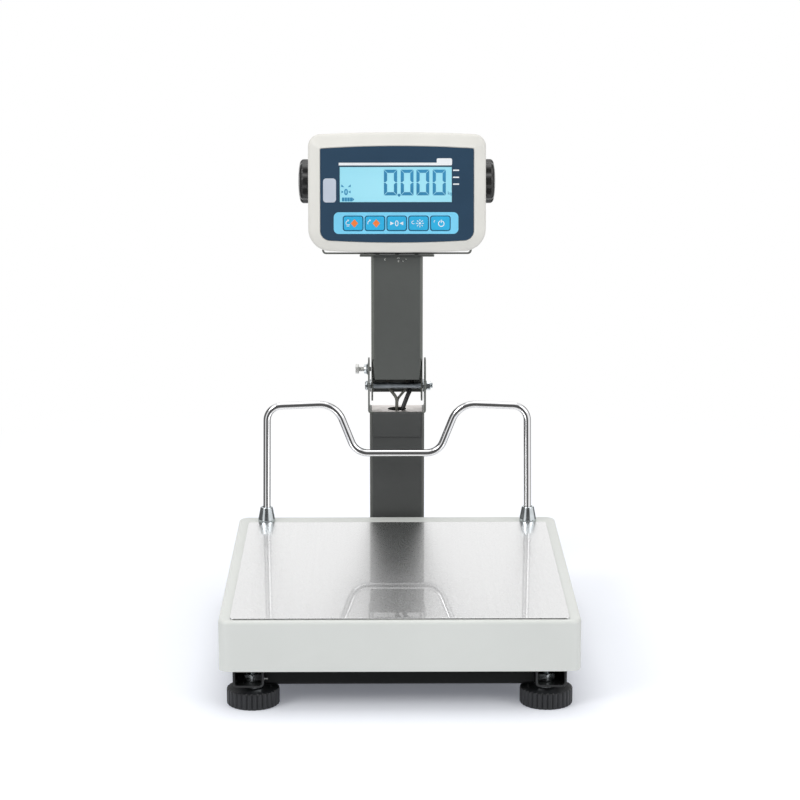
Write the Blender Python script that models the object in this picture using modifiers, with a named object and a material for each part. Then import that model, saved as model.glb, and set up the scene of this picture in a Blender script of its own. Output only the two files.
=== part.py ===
"""Bench platform scale with a folding mast and a tilting indicator.

Units are metres, +Z is up and +X is to the right of someone reading the display.
The datum empty stands on the floor under the platform's front edge, so a child's y
is its distance behind that edge and its z is its height above the floor. The world
origin is on the floor, halfway between the platform's front and the indicator's back.
"""
from math import cos, pi, radians, sin, tan

import bmesh
import bpy
from mathutils import Vector

# General
GAP = 0.0003
SLACK = 0.0003
OVERSHOOT = 0.002
SEAM = 0.0001
HALF_OVERALL_DEPTH = 0.2002

# Weighing pan, whose size sets the platform's and the frame's
PAN_WIDTH = 0.271
PAN_DEPTH = 0.301
PAN_FRONT = 0.004
PAN_SIDE_MARGIN = 0.0095
PAN_SHEET = 0.001
PAN_CORNER = 0.003

# Levelling feet
FOOT_RADIUS = 0.02135
FOOT_HEIGHT = 0.0137
FOOT_FLUTES = 24
FOOT_FLUTE_DEPTH = 0.0007
FOOT_STUD_RADIUS = 0.004
FOOT_STUD_RISE = 0.0225
FOOT_INBOARD = 0.0032
FOOT_FROM_END = 0.014
FOOT_NUT_ACROSS = 0.013
LOCK_NUT_HEIGHT = 0.0027
WELD_NUT_HEIGHT = 0.0065

# Base frame
RAIL_SIZE = 0.025
RAIL_WALL = 0.0019
RAIL_CORNER = 0.0035
RAIL_FROM_COVER_SIDE = 0.0235
RAIL_FROM_COVER_END = 0.008
STOP_FROM_SPREADER_END = 0.0095

# Load cell and what bolts to it
CELL_LENGTH = 0.130
CELL_WIDTH = 0.030
CELL_HEIGHT = 0.022
CELL_EDGE = 0.001
CELL_BORE_RADIUS = 0.0078
CELL_BORE_OFFSET = 0.0125
CELL_SLOT_HEIGHT = 0.005
CELL_BOLT_FROM_END = 0.010
CELL_BOLT_PITCH = 0.015
CROSSMEMBER_WIDTH = 0.040
CROSSMEMBER_HEIGHT = 0.015
SPACER_THICKNESS = 0.002
SPACER_LENGTH = 0.038
CELL_BOLT_BITE = 0.0154

# Fasteners
M4_RADIUS = 0.002
M5_RADIUS = 0.0025
M6_RADIUS = 0.003
M6_HEAD_ACROSS = 0.010
M6_HEAD_HEIGHT = 0.0034
M6_NUT_HEIGHT = 0.005
M5_HEAD_ACROSS = 0.008
BORE_SLACK = 0.0004

# Platform
COVER_SKIRT = 0.042
COVER_SHEET = 0.0015
COVER_CORNER = 0.009
COVER_EDGE = 0.003
BUMPER_HEIGHT = 0.0037
BUMPER_WIDTH = 0.014
BUMPER_INSET = 0.022
SPREADER_FROM_COVER_SIDE = 0.025
SPREADER_FROM_COVER_FRONT = 0.018
SPREADER_FROM_COVER_BACK = 0.028
SPREADER_HEIGHT = 0.010
SPREADER_SHEET = 0.003
SPREADER_CORNER = 0.008
SPREADER_BLOCK_WIDTH = 0.048
STOP_CLEARANCE = 0.001
STOP_FROM_SPREADER_SIDE = 0.035

# Guard
GUARD_RADIUS = 0.0034
GUARD_FROM_COVER_SIDE = 0.0255
GUARD_FROM_COVER_BACK = 0.016
CONE_TO_PAN = 0.00115
GUARD_LEAN = 0.0015
GUARD_OUTER_RISE = 0.1074
GUARD_SHOULDER = 0.0622
GUARD_INNER_RISE = 0.1099
GUARD_DIP_SLOPE = 0.0182
GUARD_DIP_RISE = 0.064
GUARD_OUTER_BEND = 0.0135
GUARD_INNER_BEND = 0.022
GUARD_DIP_BEND = 0.016
GUARD_TAIL = 0.012
CONE_BASE_RADIUS = 0.00785
CONE_TOP_RADIUS = 0.00565
CONE_HEIGHT = 0.0135
CONE_FOOT = 0.002
GUARD_NUT_ACROSS = 0.011
GUARD_NUT_HEIGHT = 0.005

# Column, its bracket and the hinge
COLUMN_WIDTH = 0.050
COLUMN_DEPTH = 0.030
COLUMN_WALL = 0.0015
COLUMN_CORNER = 0.003
COLUMN_BEHIND_COVER = 0.008
COLUMN_TOP = 0.1702
COLUMN_FOOT_PLATE = 0.004
COLUMN_BOLT_X = 0.014
BRACKET_WIDTH = 0.060
BRACKET_SHEET = 0.004
BRACKET_REACH = 0.004
BRACKET_CORNER = 0.006
CABLE_RADIUS = 0.002
COLUMN_CABLE_HOLE_RADIUS = 0.004
COLUMN_CABLE_HOLE_RISE = 0.0085

EAR_SHEET = 0.0015
EAR_INNER_HALF = 0.02505
EAR_RISE = 0.050
EAR_BEND = 0.003
EAR_TOP_RADIUS = 0.013
TAB_WIDTH = 0.044
TAB_DROP = 0.023
HINGE_CABLE_HOLE_RADIUS = 0.0085
HINGE_CABLE_HOLE_FORWARD = 0.001

PIVOT_RISE = 0.0218
PIVOT_HEAD_RADIUS = 0.0045
PIVOT_HEAD_HEIGHT = 0.0026
PIVOT_NUT_HEIGHT = 0.004
PIVOT_THREAD_END = 0.002
WASHER_RADIUS = 0.006
LOCK_RISE = 0.0154
LOCK_HEAD_HEIGHT = 0.0031
LOCK_STAND_OFF = 0.0045
LOCK_NUT_LENGTH = 0.0036

# Upper column and head
MAST_WIDTH = 0.047
MAST_DEPTH = 0.028
MAST_BELOW_PIVOT = 0.0133
MAST_FRONT_CUT = 0.0082
MAST_BACK_CUT = 0.0093
MAST_LENGTH_TO_HEAD = 0.1209
HEAD_TILT = radians(8.0)
HEAD_PLATE_WIDTH = 0.0676
HEAD_PLATE_DEPTH = 0.028
HEAD_PLATE_SHEET = 0.002
HEAD_PLATE_CORNER = 0.001
HEAD_CABLE_HOLE_RADIUS = 0.0055
BAIL_SHEET = 0.0015
BAIL_WIDTH = 0.016
BAIL_FROM_BEZEL_SIDE = 0.012
BAIL_BEND = 0.006
BAIL_SCREW_X = 0.0177
BAIL_SCREW_HEAD_RADIUS = 0.004
BAIL_SCREW_HEAD_HEIGHT = 0.0024
AXIS_ABOVE_HEAD_PLATE = 0.0665

# Indicator, measured from the tilt axis
BEZEL_WIDTH = 0.160
BEZEL_TOP = 0.0434
BEZEL_BOTTOM = 0.0666
BEZEL_CROWN = 0.0022
BEZEL_TOP_CORNER = 0.011
BEZEL_BOTTOM_CORNER = 0.020
BEZEL_FRONT = 0.032
BEZEL_RIM_DEPTH = 0.0075
BEZEL_RING_WIDTH = 0.0102
BEZEL_RING_RISE = 0.004
BEZEL_WALL = 0.0025
OVERLAY_SHEET = 0.0006
OVERLAY_MARGIN = 0.0006
HOUSING_TOP = 0.038
HOUSING_BOTTOM = 0.055
HOUSING_BACK = 0.035
HOUSING_BACK_TOP = 0.028
HOUSING_BACK_BOTTOM = 0.030
HOUSING_TOP_BREAK = 0.018
HOUSING_BOTTOM_BREAK = 0.012
HOUSING_WALL = 0.0025
HOUSING_EDGE = 0.004
PANEL_CENTRE_BELOW_AXIS = 0.0116
DISPLAY_LEFT = 0.0517
DISPLAY_RIGHT = 0.0494
DISPLAY_TOP = 0.024
DISPLAY_BOTTOM = 0.008
WINDOW_SHEET = 0.0015
MODULE_BORDER = 0.004
KEY_WIDTH = 0.0169
KEY_HEIGHT = 0.0123
KEY_PITCH = 0.0196
KEY_COUNT = 5
KEY_CENTRE_X = -0.0003
KEY_BELOW_PANEL_CENTRE = 0.02675
KEY_PROUD = 0.0006
KEY_DEPTH = 0.0022
KEY_TRAVEL = 0.0004
KEY_STEM_RADIUS = 0.0025
SWITCH_SIZE = 0.006
SWITCH_HEIGHT = 0.003
BOARD_FROM_POST = 0.00375
BOARD_HEIGHT = 0.076
BOARD_BELOW_AXIS = 0.0139
BOARD_SHEET = 0.0016
BOARD_BEHIND_BEZEL = 0.0034
BOARD_POST_RADIUS = 0.0026
BOARD_POST_INSET = 0.0043
BATTERY_IN_DOORWAY = 0.0005
BATTERY_DEPTH = 0.024
BATTERY_HEIGHT = 0.050
DOOR_FROM_POST = 0.00375
BATTERY_DOOR_HEIGHT = 0.044
BATTERY_DOOR_LIP = 0.003
BATTERY_EDGE = 0.0015
DOOR_GRIPS = 4
DOOR_GRIP_PITCH = 0.0022
DOOR_GRIP_LENGTH = 0.016
DOOR_GRIP_WIDTH = 0.001
DOOR_GRIP_DEPTH = 0.0004
HOUSING_SCREW_FROM_SIDE = 0.0057
HOUSING_POST_RADIUS = 0.00475
HOUSING_SCREW_TOP = 0.030
HOUSING_SCREW_BOTTOM = 0.047
GLAND_RADIUS = 0.005
GLAND_TIP_RADIUS = 0.004
GLAND_LENGTH = 0.0045
SOCKET_X = 0.036
SOCKET_SIZE = 0.009
SOCKET_BORE_RADIUS = 0.0028

# Knobs
KNOB_RADIUS = 0.020
KNOB_HUB_LENGTH = 0.0087
KNOB_HEAD = 0.0125
KNOB_RIM = 0.003
KNOB_CROWN = 0.0015
KNOB_HUB_RADIUS = 0.011
KNOB_LOBES = 8
KNOB_FLUTE_RADIUS = 0.0065
KNOB_FLUTE_DEPTH = 0.0016
KNOB_STUD_LENGTH = 0.014
BOSS_RADIUS = 0.007
BOSS_LENGTH = 0.008

# Where the cable inside the columns passes from one stretch to the next
CABLE_JOIN_DEPTH = 0.020
CABLE_END_BELOW_HEAD = 0.012

# Heights worked out from the sizes above
RAIL_BOTTOM = FOOT_HEIGHT + GAP + LOCK_NUT_HEIGHT + GAP
RAIL_TOP = RAIL_BOTTOM + RAIL_SIZE
CROSSMEMBER_TOP = RAIL_BOTTOM + CROSSMEMBER_HEIGHT
CELL_BOTTOM = CROSSMEMBER_TOP + GAP + SPACER_THICKNESS + GAP
CELL_TOP = CELL_BOTTOM + CELL_HEIGHT
SPREADER_BOTTOM = CELL_TOP + GAP + SPACER_THICKNESS + GAP
SPREADER_TOP = SPREADER_BOTTOM + SPREADER_HEIGHT
COVER_UNDERSIDE = SPREADER_TOP + GAP + BUMPER_HEIGHT + GAP
COVER_TOP = COVER_UNDERSIDE + COVER_SHEET

# Widths and depths worked out from the pan
PAN_BACK = PAN_FRONT + PAN_DEPTH
GUARD_Y = PAN_BACK + CONE_TO_PAN + CONE_BASE_RADIUS
COVER_DEPTH = GUARD_Y + GUARD_FROM_COVER_BACK
COVER_WIDTH = PAN_WIDTH + 2 * PAN_SIDE_MARGIN
GUARD_X = COVER_WIDTH / 2 - GUARD_FROM_COVER_SIDE
GUARD_OUTER_X = GUARD_X - GUARD_LEAN
GUARD_INNER_X = GUARD_OUTER_X - GUARD_SHOULDER
GUARD_DIP_X = GUARD_INNER_X - GUARD_DIP_SLOPE
SPREADER_WIDTH = COVER_WIDTH - 2 * SPREADER_FROM_COVER_SIDE
SPREADER_FRONT = SPREADER_FROM_COVER_FRONT
SPREADER_BACK = COVER_DEPTH - SPREADER_FROM_COVER_BACK
SPREADER_DEPTH = SPREADER_BACK - SPREADER_FRONT
SPREADER_Y = (SPREADER_FRONT + SPREADER_BACK) / 2
STOP_X = SPREADER_WIDTH / 2 - STOP_FROM_SPREADER_SIDE
RAIL_X = COVER_WIDTH / 2 - RAIL_FROM_COVER_SIDE
RAIL_FRONT = RAIL_FROM_COVER_END
RAIL_BACK = COVER_DEPTH - RAIL_FROM_COVER_END
RAIL_LENGTH = RAIL_BACK - RAIL_FRONT
FRONT_CROSSBAR_Y = SPREADER_FRONT + STOP_FROM_SPREADER_END
REAR_CROSSBAR_Y = SPREADER_BACK - STOP_FROM_SPREADER_END
CROSSBAR_LENGTH = 2 * (RAIL_X - RAIL_SIZE / 2 - GAP)
CELL_CENTRE_Y = COVER_DEPTH / 2
CELL_BOLT_OUTER = CELL_LENGTH / 2 - CELL_BOLT_FROM_END
CELL_BOLT_INNER = CELL_BOLT_OUTER - CELL_BOLT_PITCH
CELL_FIXED_Y = CELL_CENTRE_Y + (CELL_BOLT_OUTER + CELL_BOLT_INNER) / 2
CELL_FREE_Y = CELL_CENTRE_Y - (CELL_BOLT_OUTER + CELL_BOLT_INNER) / 2
FOOT_X = RAIL_X - FOOT_INBOARD
FEET = {
    "front_left": (-FOOT_X, RAIL_FRONT + FOOT_FROM_END),
    "front_right": (FOOT_X, RAIL_FRONT + FOOT_FROM_END),
    "rear_left": (-FOOT_X, RAIL_BACK - FOOT_FROM_END),
    "rear_right": (FOOT_X, RAIL_BACK - FOOT_FROM_END),
}
COLUMN_Y = COVER_DEPTH + COLUMN_BEHIND_COVER + COLUMN_DEPTH / 2
BRACKET_TOP = RAIL_BOTTOM - GAP
HINGE_PLATE_TOP = COLUMN_TOP + GAP + EAR_SHEET
PIVOT_Z = HINGE_PLATE_TOP + PIVOT_RISE
LOCK_Z = PIVOT_Z + LOCK_RISE
EAR_OUTER_HALF = EAR_INNER_HALF + EAR_SHEET
HEAD_TO_AXIS = HEAD_PLATE_SHEET / 2 + AXIS_ABOVE_HEAD_PLATE
BEZEL_BACK = -BEZEL_FRONT + BEZEL_RING_RISE + BEZEL_RIM_DEPTH
PANEL_Z = -PANEL_CENTRE_BELOW_AXIS
KEY_Z = PANEL_Z - KEY_BELOW_PANEL_CENTRE
KEY_XS = [KEY_CENTRE_X + (i - (KEY_COUNT - 1) / 2) * KEY_PITCH for i in range(KEY_COUNT)]
KEY_NAMES = ("key_tare", "key_function", "key_zero", "key_light", "key_power")
BOARD_FRONT = BEZEL_BACK + BOARD_BEHIND_BEZEL
BAIL_OUTER_HALF = BEZEL_WIDTH / 2 - BAIL_FROM_BEZEL_SIDE
HOUSING_HALF = BAIL_OUTER_HALF - BAIL_SHEET - GAP
HOUSING_SCREW_X = HOUSING_HALF - HOUSING_SCREW_FROM_SIDE
BOARD_WIDTH = 2 * (HOUSING_SCREW_X - HOUSING_POST_RADIUS - BOARD_FROM_POST)
BATTERY_DOOR_WIDTH = 2 * (HOUSING_SCREW_X - HOUSING_POST_RADIUS - DOOR_FROM_POST)
BATTERY_WIDTH = BATTERY_DOOR_WIDTH - 2 * (BATTERY_DOOR_LIP + BATTERY_IN_DOORWAY)
KNOB_OUTER = BAIL_OUTER_HALF + GAP + KNOB_HUB_LENGTH + KNOB_HEAD

AXIS_TURNS = {"X": (0.0, pi / 2, 0.0), "Y": (-pi / 2, 0.0, 0.0), "Z": (0.0, 0.0, 0.0)}

parts = None
cutters = None


# Helpers

def clear_scene():
    for obj in list(bpy.data.objects):
        bpy.data.objects.remove(obj, do_unlink=True)


def make_collection(name):
    made = bpy.data.collections.new(name)
    bpy.context.scene.collection.children.link(made)
    return made


def make_material(name, colour, roughness, metallic=0.0):
    made = bpy.data.materials.new(name)
    made.use_nodes = True
    shader = made.node_tree.nodes["Principled BSDF"]
    shader.inputs["Base Color"].default_value = (*colour, 1.0)
    shader.inputs["Roughness"].default_value = roughness
    shader.inputs["Metallic"].default_value = metallic
    made.diffuse_color = (*colour, 1.0)
    return made


def make_empty(name, location, parent=None, turn=(0.0, 0.0, 0.0)):
    made = bpy.data.objects.new(name, None)
    made.location = location
    made.rotation_euler = turn
    made.parent = parent
    parts.objects.link(made)
    return made


def place(obj, location=(0, 0, 0), parent=None, turn=(0, 0, 0), collection=None):
    (collection or parts).objects.link(obj)
    obj.location = location
    obj.rotation_euler = turn
    obj.parent = parent
    return obj


def mesh_object(name, bm):
    mesh = bpy.data.meshes.new(name)
    bm.to_mesh(mesh)
    bm.free()
    return bpy.data.objects.new(name, mesh)


def smooth(obj, degrees=35):
    obj.data.shade_smooth()
    obj.data.set_sharp_from_angle(angle=radians(degrees))
    return obj


def box(name, size, location=(0, 0, 0), parent=None, turn=(0, 0, 0), bevel=0.0, steps=2):
    bm = bmesh.new()
    bmesh.ops.create_cube(bm, size=1.0)
    bmesh.ops.scale(bm, vec=Vector(size), verts=bm.verts)
    obj = place(mesh_object(name, bm), location, parent, turn)
    if bevel:
        add_bevel(obj, bevel, steps)
    return obj


def cylinder(name, radius, length, axis="Z", location=(0, 0, 0), parent=None, sides=24, top=None):
    bm = bmesh.new()
    bmesh.ops.create_cone(bm, cap_ends=True, segments=sides, radius1=radius,
                          radius2=radius if top is None else top, depth=length)
    return smooth(place(mesh_object(name, bm), location, parent, AXIS_TURNS[axis]))


def hexagon(name, across, height, axis="Z", location=(0, 0, 0), parent=None):
    bm = bmesh.new()
    corner = across / 2 / cos(pi / 6)
    bmesh.ops.create_cone(bm, cap_ends=True, segments=6, radius1=corner, radius2=corner, depth=height)
    return place(mesh_object(name, bm), location, parent, AXIS_TURNS[axis])


def turned(name, profile, axis="Z", location=(0, 0, 0), parent=None, steps=32):
    """Turn a profile of (radius, height) points, from its top down its outer side, round local Z."""
    bm = bmesh.new()
    verts = [bm.verts.new((radius, 0.0, height)) for radius, height in profile]
    for first, second in zip(verts, verts[1:]):
        bm.edges.new((first, second))
    if profile[0][0] > 0:
        bm.edges.new((verts[-1], verts[0]))
    obj = place(mesh_object(name, bm), location, parent, AXIS_TURNS[axis])
    screw = obj.modifiers.new("Screw", "SCREW")
    screw.steps = steps
    screw.render_steps = steps
    screw.use_merge_vertices = True
    screw.merge_threshold = 0.00001
    screw.use_smooth_shade = True
    return obj


def arc(centre, radius, start, end, steps):
    """Points on an arc from one angle to another, both included."""
    return [(centre[0] + radius * cos(start + (end - start) * i / steps),
             centre[1] + radius * sin(start + (end - start) * i / steps)) for i in range(steps + 1)]


def circle(radius, sides=24, centre=(0.0, 0.0)):
    return arc(centre, radius, 0.0, 2 * pi, sides)[:-1]


def rounded_rectangle(width, height, radius, steps=4, centre=(0.0, 0.0)):
    x, y = width / 2 - radius, height / 2 - radius
    points = []
    for i, (sx, sy) in enumerate(((1, 1), (-1, 1), (-1, -1), (1, -1))):
        corner = (centre[0] + sx * x, centre[1] + sy * y)
        points += arc(corner, radius, i * pi / 2, (i + 1) * pi / 2, steps)
    return points


def filleted(points, radii, steps=5, closed=False):
    """Round the corners of a path; each corner has its own radius, and 0 keeps it sharp."""
    made = []
    count = len(points)
    for i, (point, radius) in enumerate(zip(points, radii)):
        here = Vector(point)
        if radius == 0 or (not closed and i in (0, count - 1)):
            made.append(tuple(here))
            continue
        before = (Vector(points[i - 1]) - here).normalized()
        after = (Vector(points[(i + 1) % count]) - here).normalized()
        half = before.angle(after) / 2
        reach = radius / tan(half)
        centre = here + (before + after).normalized() * (radius / sin(half))
        start = (here + before * reach - centre).normalized()
        end = (here + after * reach - centre).normalized()
        for k in range(steps + 1):
            made.append(tuple(centre + radius * start.slerp(end, k / steps)))
    return made


def plate(name, loops, thickness, location=(0, 0, 0), parent=None, turn=(0, 0, 0)):
    """A flat outline with holes, extruded about its own plane."""
    curve = bpy.data.curves.new(name, "CURVE")
    curve.dimensions = "2D"
    curve.fill_mode = "BOTH"
    curve.extrude = thickness / 2
    for loop in loops:
        spline = curve.splines.new("POLY")
        spline.points.add(len(loop) - 1)
        for point, (x, y) in zip(spline.points, loop):
            point.co = (x, y, 0.0, 1.0)
        spline.use_cyclic_u = True
    return place(bpy.data.objects.new(name, curve), location, parent, turn)


def wire(name, points, radius, parent=None, resolution=2, location=(0, 0, 0)):
    curve = bpy.data.curves.new(name, "CURVE")
    curve.dimensions = "3D"
    curve.bevel_depth = radius
    curve.bevel_resolution = resolution
    curve.use_fill_caps = True
    spline = curve.splines.new("POLY")
    spline.points.add(len(points) - 1)
    for point, co in zip(spline.points, points):
        point.co = (*co, 1.0)
    return place(bpy.data.objects.new(name, curve), location, parent)


def smooth_route(points, spacing):
    """Read points off a smooth curve through a cable's own points, about one spacing apart."""
    knots = [Vector(p) for p in points]
    knots = [2 * knots[0] - knots[1]] + knots + [2 * knots[-1] - knots[-2]]
    made = []
    for i in range(1, len(knots) - 2):
        a, b, c, d = knots[i - 1:i + 3]
        steps = max(1, round((c - b).length / spacing))
        for k in range(steps):
            t = k / steps
            made.append(0.5 * ((2 * b) + (c - a) * t + (2 * a - 5 * b + 4 * c - d) * t ** 2
                               + (3 * b - a - 3 * c + d) * t ** 3))
    return [tuple(p) for p in made + [knots[-2]]]


def as_mesh(obj):
    """Turn a curve into a mesh with welded caps, in its place and under its name."""
    bpy.context.view_layer.update()
    evaluated = obj.evaluated_get(bpy.context.evaluated_depsgraph_get())
    mesh = bpy.data.meshes.new_from_object(evaluated)
    bm = bmesh.new()
    bm.from_mesh(mesh)
    bmesh.ops.remove_doubles(bm, verts=bm.verts, dist=0.000001)
    bmesh.ops.recalc_face_normals(bm, faces=bm.faces)
    bm.to_mesh(mesh)
    bm.free()
    name = obj.name
    location, turn, parent = obj.location.copy(), obj.rotation_euler.copy(), obj.parent
    bpy.data.objects.remove(obj, do_unlink=True)
    return place(bpy.data.objects.new(name, mesh), location, parent, turn)


def add_bevel(obj, width, segments=2, degrees=40):
    bevel = obj.modifiers.new("Bevel", "BEVEL")
    bevel.width = width
    bevel.segments = segments
    bevel.limit_method = "ANGLE"
    bevel.angle_limit = radians(degrees)
    return obj


def boolean(target, tool, operation):
    """Cut, join or intersect with a tool that stays hidden in the cutters' collection."""
    for holder in list(tool.users_collection):
        holder.objects.unlink(tool)
    cutters.objects.link(tool)
    tool.name = f"{target.name}_{operation.lower()}_{len(target.modifiers)}"
    tool.hide_render = True
    tool.display_type = "WIRE"
    modifier = target.modifiers.new(operation.title(), "BOOLEAN")
    modifier.operation = operation
    modifier.solver = "EXACT"
    modifier.object = tool
    return target


def cut(target, tool):
    return boolean(target, tool, "DIFFERENCE")


def join(target, tool):
    return boolean(target, tool, "UNION")


def drill(target, radius, length, axis, location, parent=None, sides=16):
    return cut(target, cylinder("drill", radius, length, axis, location, parent, sides))


def cutter_set(name, pieces, parent=None):
    """Gather tools that repeat round a piece into one object, so that one Boolean uses them all."""
    bpy.context.view_layer.update()
    graph = bpy.context.evaluated_depsgraph_get()
    inverse = parent.matrix_world.inverted() if parent else None
    bm = bmesh.new()
    for piece in pieces:
        mesh = bpy.data.meshes.new_from_object(piece.evaluated_get(graph))
        matrix = piece.matrix_world.copy()
        mesh.transform(inverse @ matrix if inverse else matrix)
        bm.from_mesh(mesh)
        bpy.data.meshes.remove(mesh)
    bmesh.ops.remove_doubles(bm, verts=bm.verts, dist=0.000001)
    for piece in pieces:
        bpy.data.objects.remove(piece, do_unlink=True)
    return smooth(place(mesh_object(name, bm), (0, 0, 0), parent))


def paint(obj, material):
    obj.data.materials.clear()
    obj.data.materials.append(material)
    return obj


def hex_bolt(name, radius, across, head_height, shank, axis, location, parent, flip=1):
    """A bolt whose head seats at its location and whose shank points against the head."""
    head = hexagon(name, across, head_height, axis, location, parent)
    shift = {"X": Vector((1, 0, 0)), "Y": Vector((0, 1, 0)), "Z": Vector((0, 0, 1))}[axis] * flip
    head.location = Vector(location) + shift * (head_height / 2)
    overlap = head_height / 2
    rod = cylinder("shank", radius, shank + overlap, axis,
                   Vector(location) - shift * (shank - overlap) / 2, parent, 12)
    return join(head, rod)


def ring_nut(name, across, bore, height, axis, location, parent):
    nut = hexagon(name, across, height, axis, location, parent)
    return drill(nut, bore, height + 2 * OVERSHOOT, axis, location, parent)


# Levelling feet

def build_feet(datum, rubber):
    for corner, (x, y) in FEET.items():
        outline = []
        for i in range(FOOT_FLUTES):
            middle = 2 * pi * i / FOOT_FLUTES
            for share, dent in ((0.0, 0.0), (0.38, 0.0), (0.69, 1.0)):
                angle = middle + share * 2 * pi / FOOT_FLUTES
                radius = FOOT_RADIUS - dent * FOOT_FLUTE_DEPTH
                outline.append((radius * cos(angle), radius * sin(angle)))
        pad = as_mesh(plate(f"foot_{corner}", [outline], FOOT_HEIGHT, (x, y, FOOT_HEIGHT / 2), datum))
        stud_top = RAIL_BOTTOM + FOOT_STUD_RISE
        stud_length = stud_top - FOOT_HEIGHT / 2
        join(pad, cylinder("stud", FOOT_STUD_RADIUS, stud_length, "Z",
                           (x, y, stud_top - stud_length / 2), datum, 16))
        nut_height = LOCK_NUT_HEIGHT + GAP
        join(pad, hexagon("lock_nut", FOOT_NUT_ACROSS, nut_height + GAP, "Z",
                          (x, y, FOOT_HEIGHT + (nut_height - GAP) / 2), datum))
        paint(pad, rubber)


# Base frame

def square_tube(name, width, height, wall, corner, length, location, parent, turn, steps=2):
    outer = rounded_rectangle(width, height, corner, steps)
    inner = rounded_rectangle(width - 2 * wall, height - 2 * wall, max(corner - wall, 0.0005), steps)
    return as_mesh(plate(name, [outer, inner], length, location, parent, turn))


def build_base_frame(datum, black):
    rail_z = RAIL_BOTTOM + RAIL_SIZE / 2
    for side, sign in (("left", -1), ("right", 1)):
        rail = square_tube(f"rail_{side}", RAIL_SIZE, RAIL_SIZE, RAIL_WALL, RAIL_CORNER, RAIL_LENGTH,
                           (sign * RAIL_X, RAIL_FRONT + RAIL_LENGTH / 2, rail_z), datum, AXIS_TURNS["Y"])
        for x, y in FEET.values():
            if x * sign > 0:
                nut_z = RAIL_BOTTOM + RAIL_WALL + WELD_NUT_HEIGHT / 2
                join(rail, hexagon("weld_nut", FOOT_NUT_ACROSS, WELD_NUT_HEIGHT + RAIL_WALL, "Z",
                                   (x, y, nut_z - RAIL_WALL / 2), datum))
                drill(rail, FOOT_STUD_RADIUS + BORE_SLACK, 4 * WELD_NUT_HEIGHT, "Z",
                      (x, y, RAIL_BOTTOM), datum)
        paint(rail, black)
    stop_top = SPREADER_TOP - SPREADER_SHEET - STOP_CLEARANCE
    stop_bottom = RAIL_TOP - 2 * RAIL_WALL
    for end, y in (("front", FRONT_CROSSBAR_Y), ("rear", REAR_CROSSBAR_Y)):
        bar = square_tube(f"{end}_crossbar", RAIL_SIZE, RAIL_SIZE, RAIL_WALL, RAIL_CORNER, CROSSBAR_LENGTH,
                          (0, y, rail_z), datum, AXIS_TURNS["X"])
        for x in (-STOP_X, STOP_X):
            join(bar, cylinder("stop_screw", M6_RADIUS, stop_top - stop_bottom, "Z",
                               (x, y, (stop_top + stop_bottom) / 2), datum, 12))
            join(bar, hexagon("stop_nut", M6_HEAD_ACROSS, M6_NUT_HEIGHT + RAIL_WALL, "Z",
                              (x, y, RAIL_TOP + (M6_NUT_HEIGHT - RAIL_WALL) / 2), datum))
        paint(bar, black)
    beam = square_tube("cell_crossmember", CROSSMEMBER_HEIGHT, CROSSMEMBER_WIDTH, RAIL_WALL, RAIL_CORNER / 2,
                       CROSSBAR_LENGTH, (0, CELL_FIXED_Y, RAIL_BOTTOM + CROSSMEMBER_HEIGHT / 2), datum,
                       AXIS_TURNS["X"])
    for y in (CELL_CENTRE_Y + CELL_BOLT_INNER, CELL_CENTRE_Y + CELL_BOLT_OUTER):
        drill(beam, M6_RADIUS + BORE_SLACK, 2 * RAIL_SIZE, "Z", (0, y, RAIL_BOTTOM), datum)
    paint(beam, black)


# Load cell

def build_load_cell(datum, aluminium, zinc):
    outer = rounded_rectangle(CELL_LENGTH, CELL_HEIGHT, CELL_EDGE, 2)
    reach = (CELL_BORE_RADIUS ** 2 - (CELL_SLOT_HEIGHT / 2) ** 2) ** 0.5
    lean = Vector((reach, CELL_SLOT_HEIGHT / 2)).angle(Vector((1, 0)))
    bone = (arc((CELL_BORE_OFFSET, 0), CELL_BORE_RADIUS, -pi + lean, pi - lean, 16)
            + arc((-CELL_BORE_OFFSET, 0), CELL_BORE_RADIUS, lean, 2 * pi - lean, 16))
    cell_z = CELL_BOTTOM + CELL_HEIGHT / 2
    cell = as_mesh(plate("load_cell", [outer, bone], CELL_WIDTH, (0, CELL_CENTRE_Y, cell_z), datum,
                         (pi / 2, 0, pi / 2)))
    for offset in (-CELL_BOLT_OUTER, -CELL_BOLT_INNER, CELL_BOLT_INNER, CELL_BOLT_OUTER):
        drill(cell, M6_RADIUS + BORE_SLACK, 2 * CELL_HEIGHT, "Z", (0, CELL_CENTRE_Y + offset, cell_z), datum)
    paint(cell, aluminium)
    half_pitch = CELL_BOLT_PITCH / 2
    for name, y, z in (("cell_lower_spacer", CELL_FIXED_Y, CROSSMEMBER_TOP + GAP),
                       ("cell_upper_spacer", CELL_FREE_Y, CELL_TOP + GAP)):
        holes = [circle(M6_RADIUS + BORE_SLACK, 12, (0, offset)) for offset in (-half_pitch, half_pitch)]
        spacer = plate(name, [rounded_rectangle(CELL_WIDTH, SPACER_LENGTH, CELL_EDGE, 2)] + holes,
                       SPACER_THICKNESS, (0, y, z + SPACER_THICKNESS / 2), datum)
        paint(spacer, aluminium)
    lower_seat = RAIL_BOTTOM - GAP
    upper_seat = SPREADER_TOP + GAP
    lower_shank = CELL_BOTTOM + CELL_BOLT_BITE - lower_seat
    upper_shank = upper_seat - (CELL_TOP - CELL_BOLT_BITE)
    for end, offset in (("front", -half_pitch), ("rear", half_pitch)):
        paint(hex_bolt(f"cell_lower_bolt_{end}", M6_RADIUS, M6_HEAD_ACROSS, M6_HEAD_HEIGHT, lower_shank,
                       "Z", (0, CELL_FIXED_Y + offset, lower_seat), datum, -1), zinc)
        paint(hex_bolt(f"cell_upper_bolt_{end}", M6_RADIUS, M6_HEAD_ACROSS, M6_HEAD_HEIGHT, upper_shank,
                       "Z", (0, CELL_FREE_Y + offset, upper_seat), datum), zinc)


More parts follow.
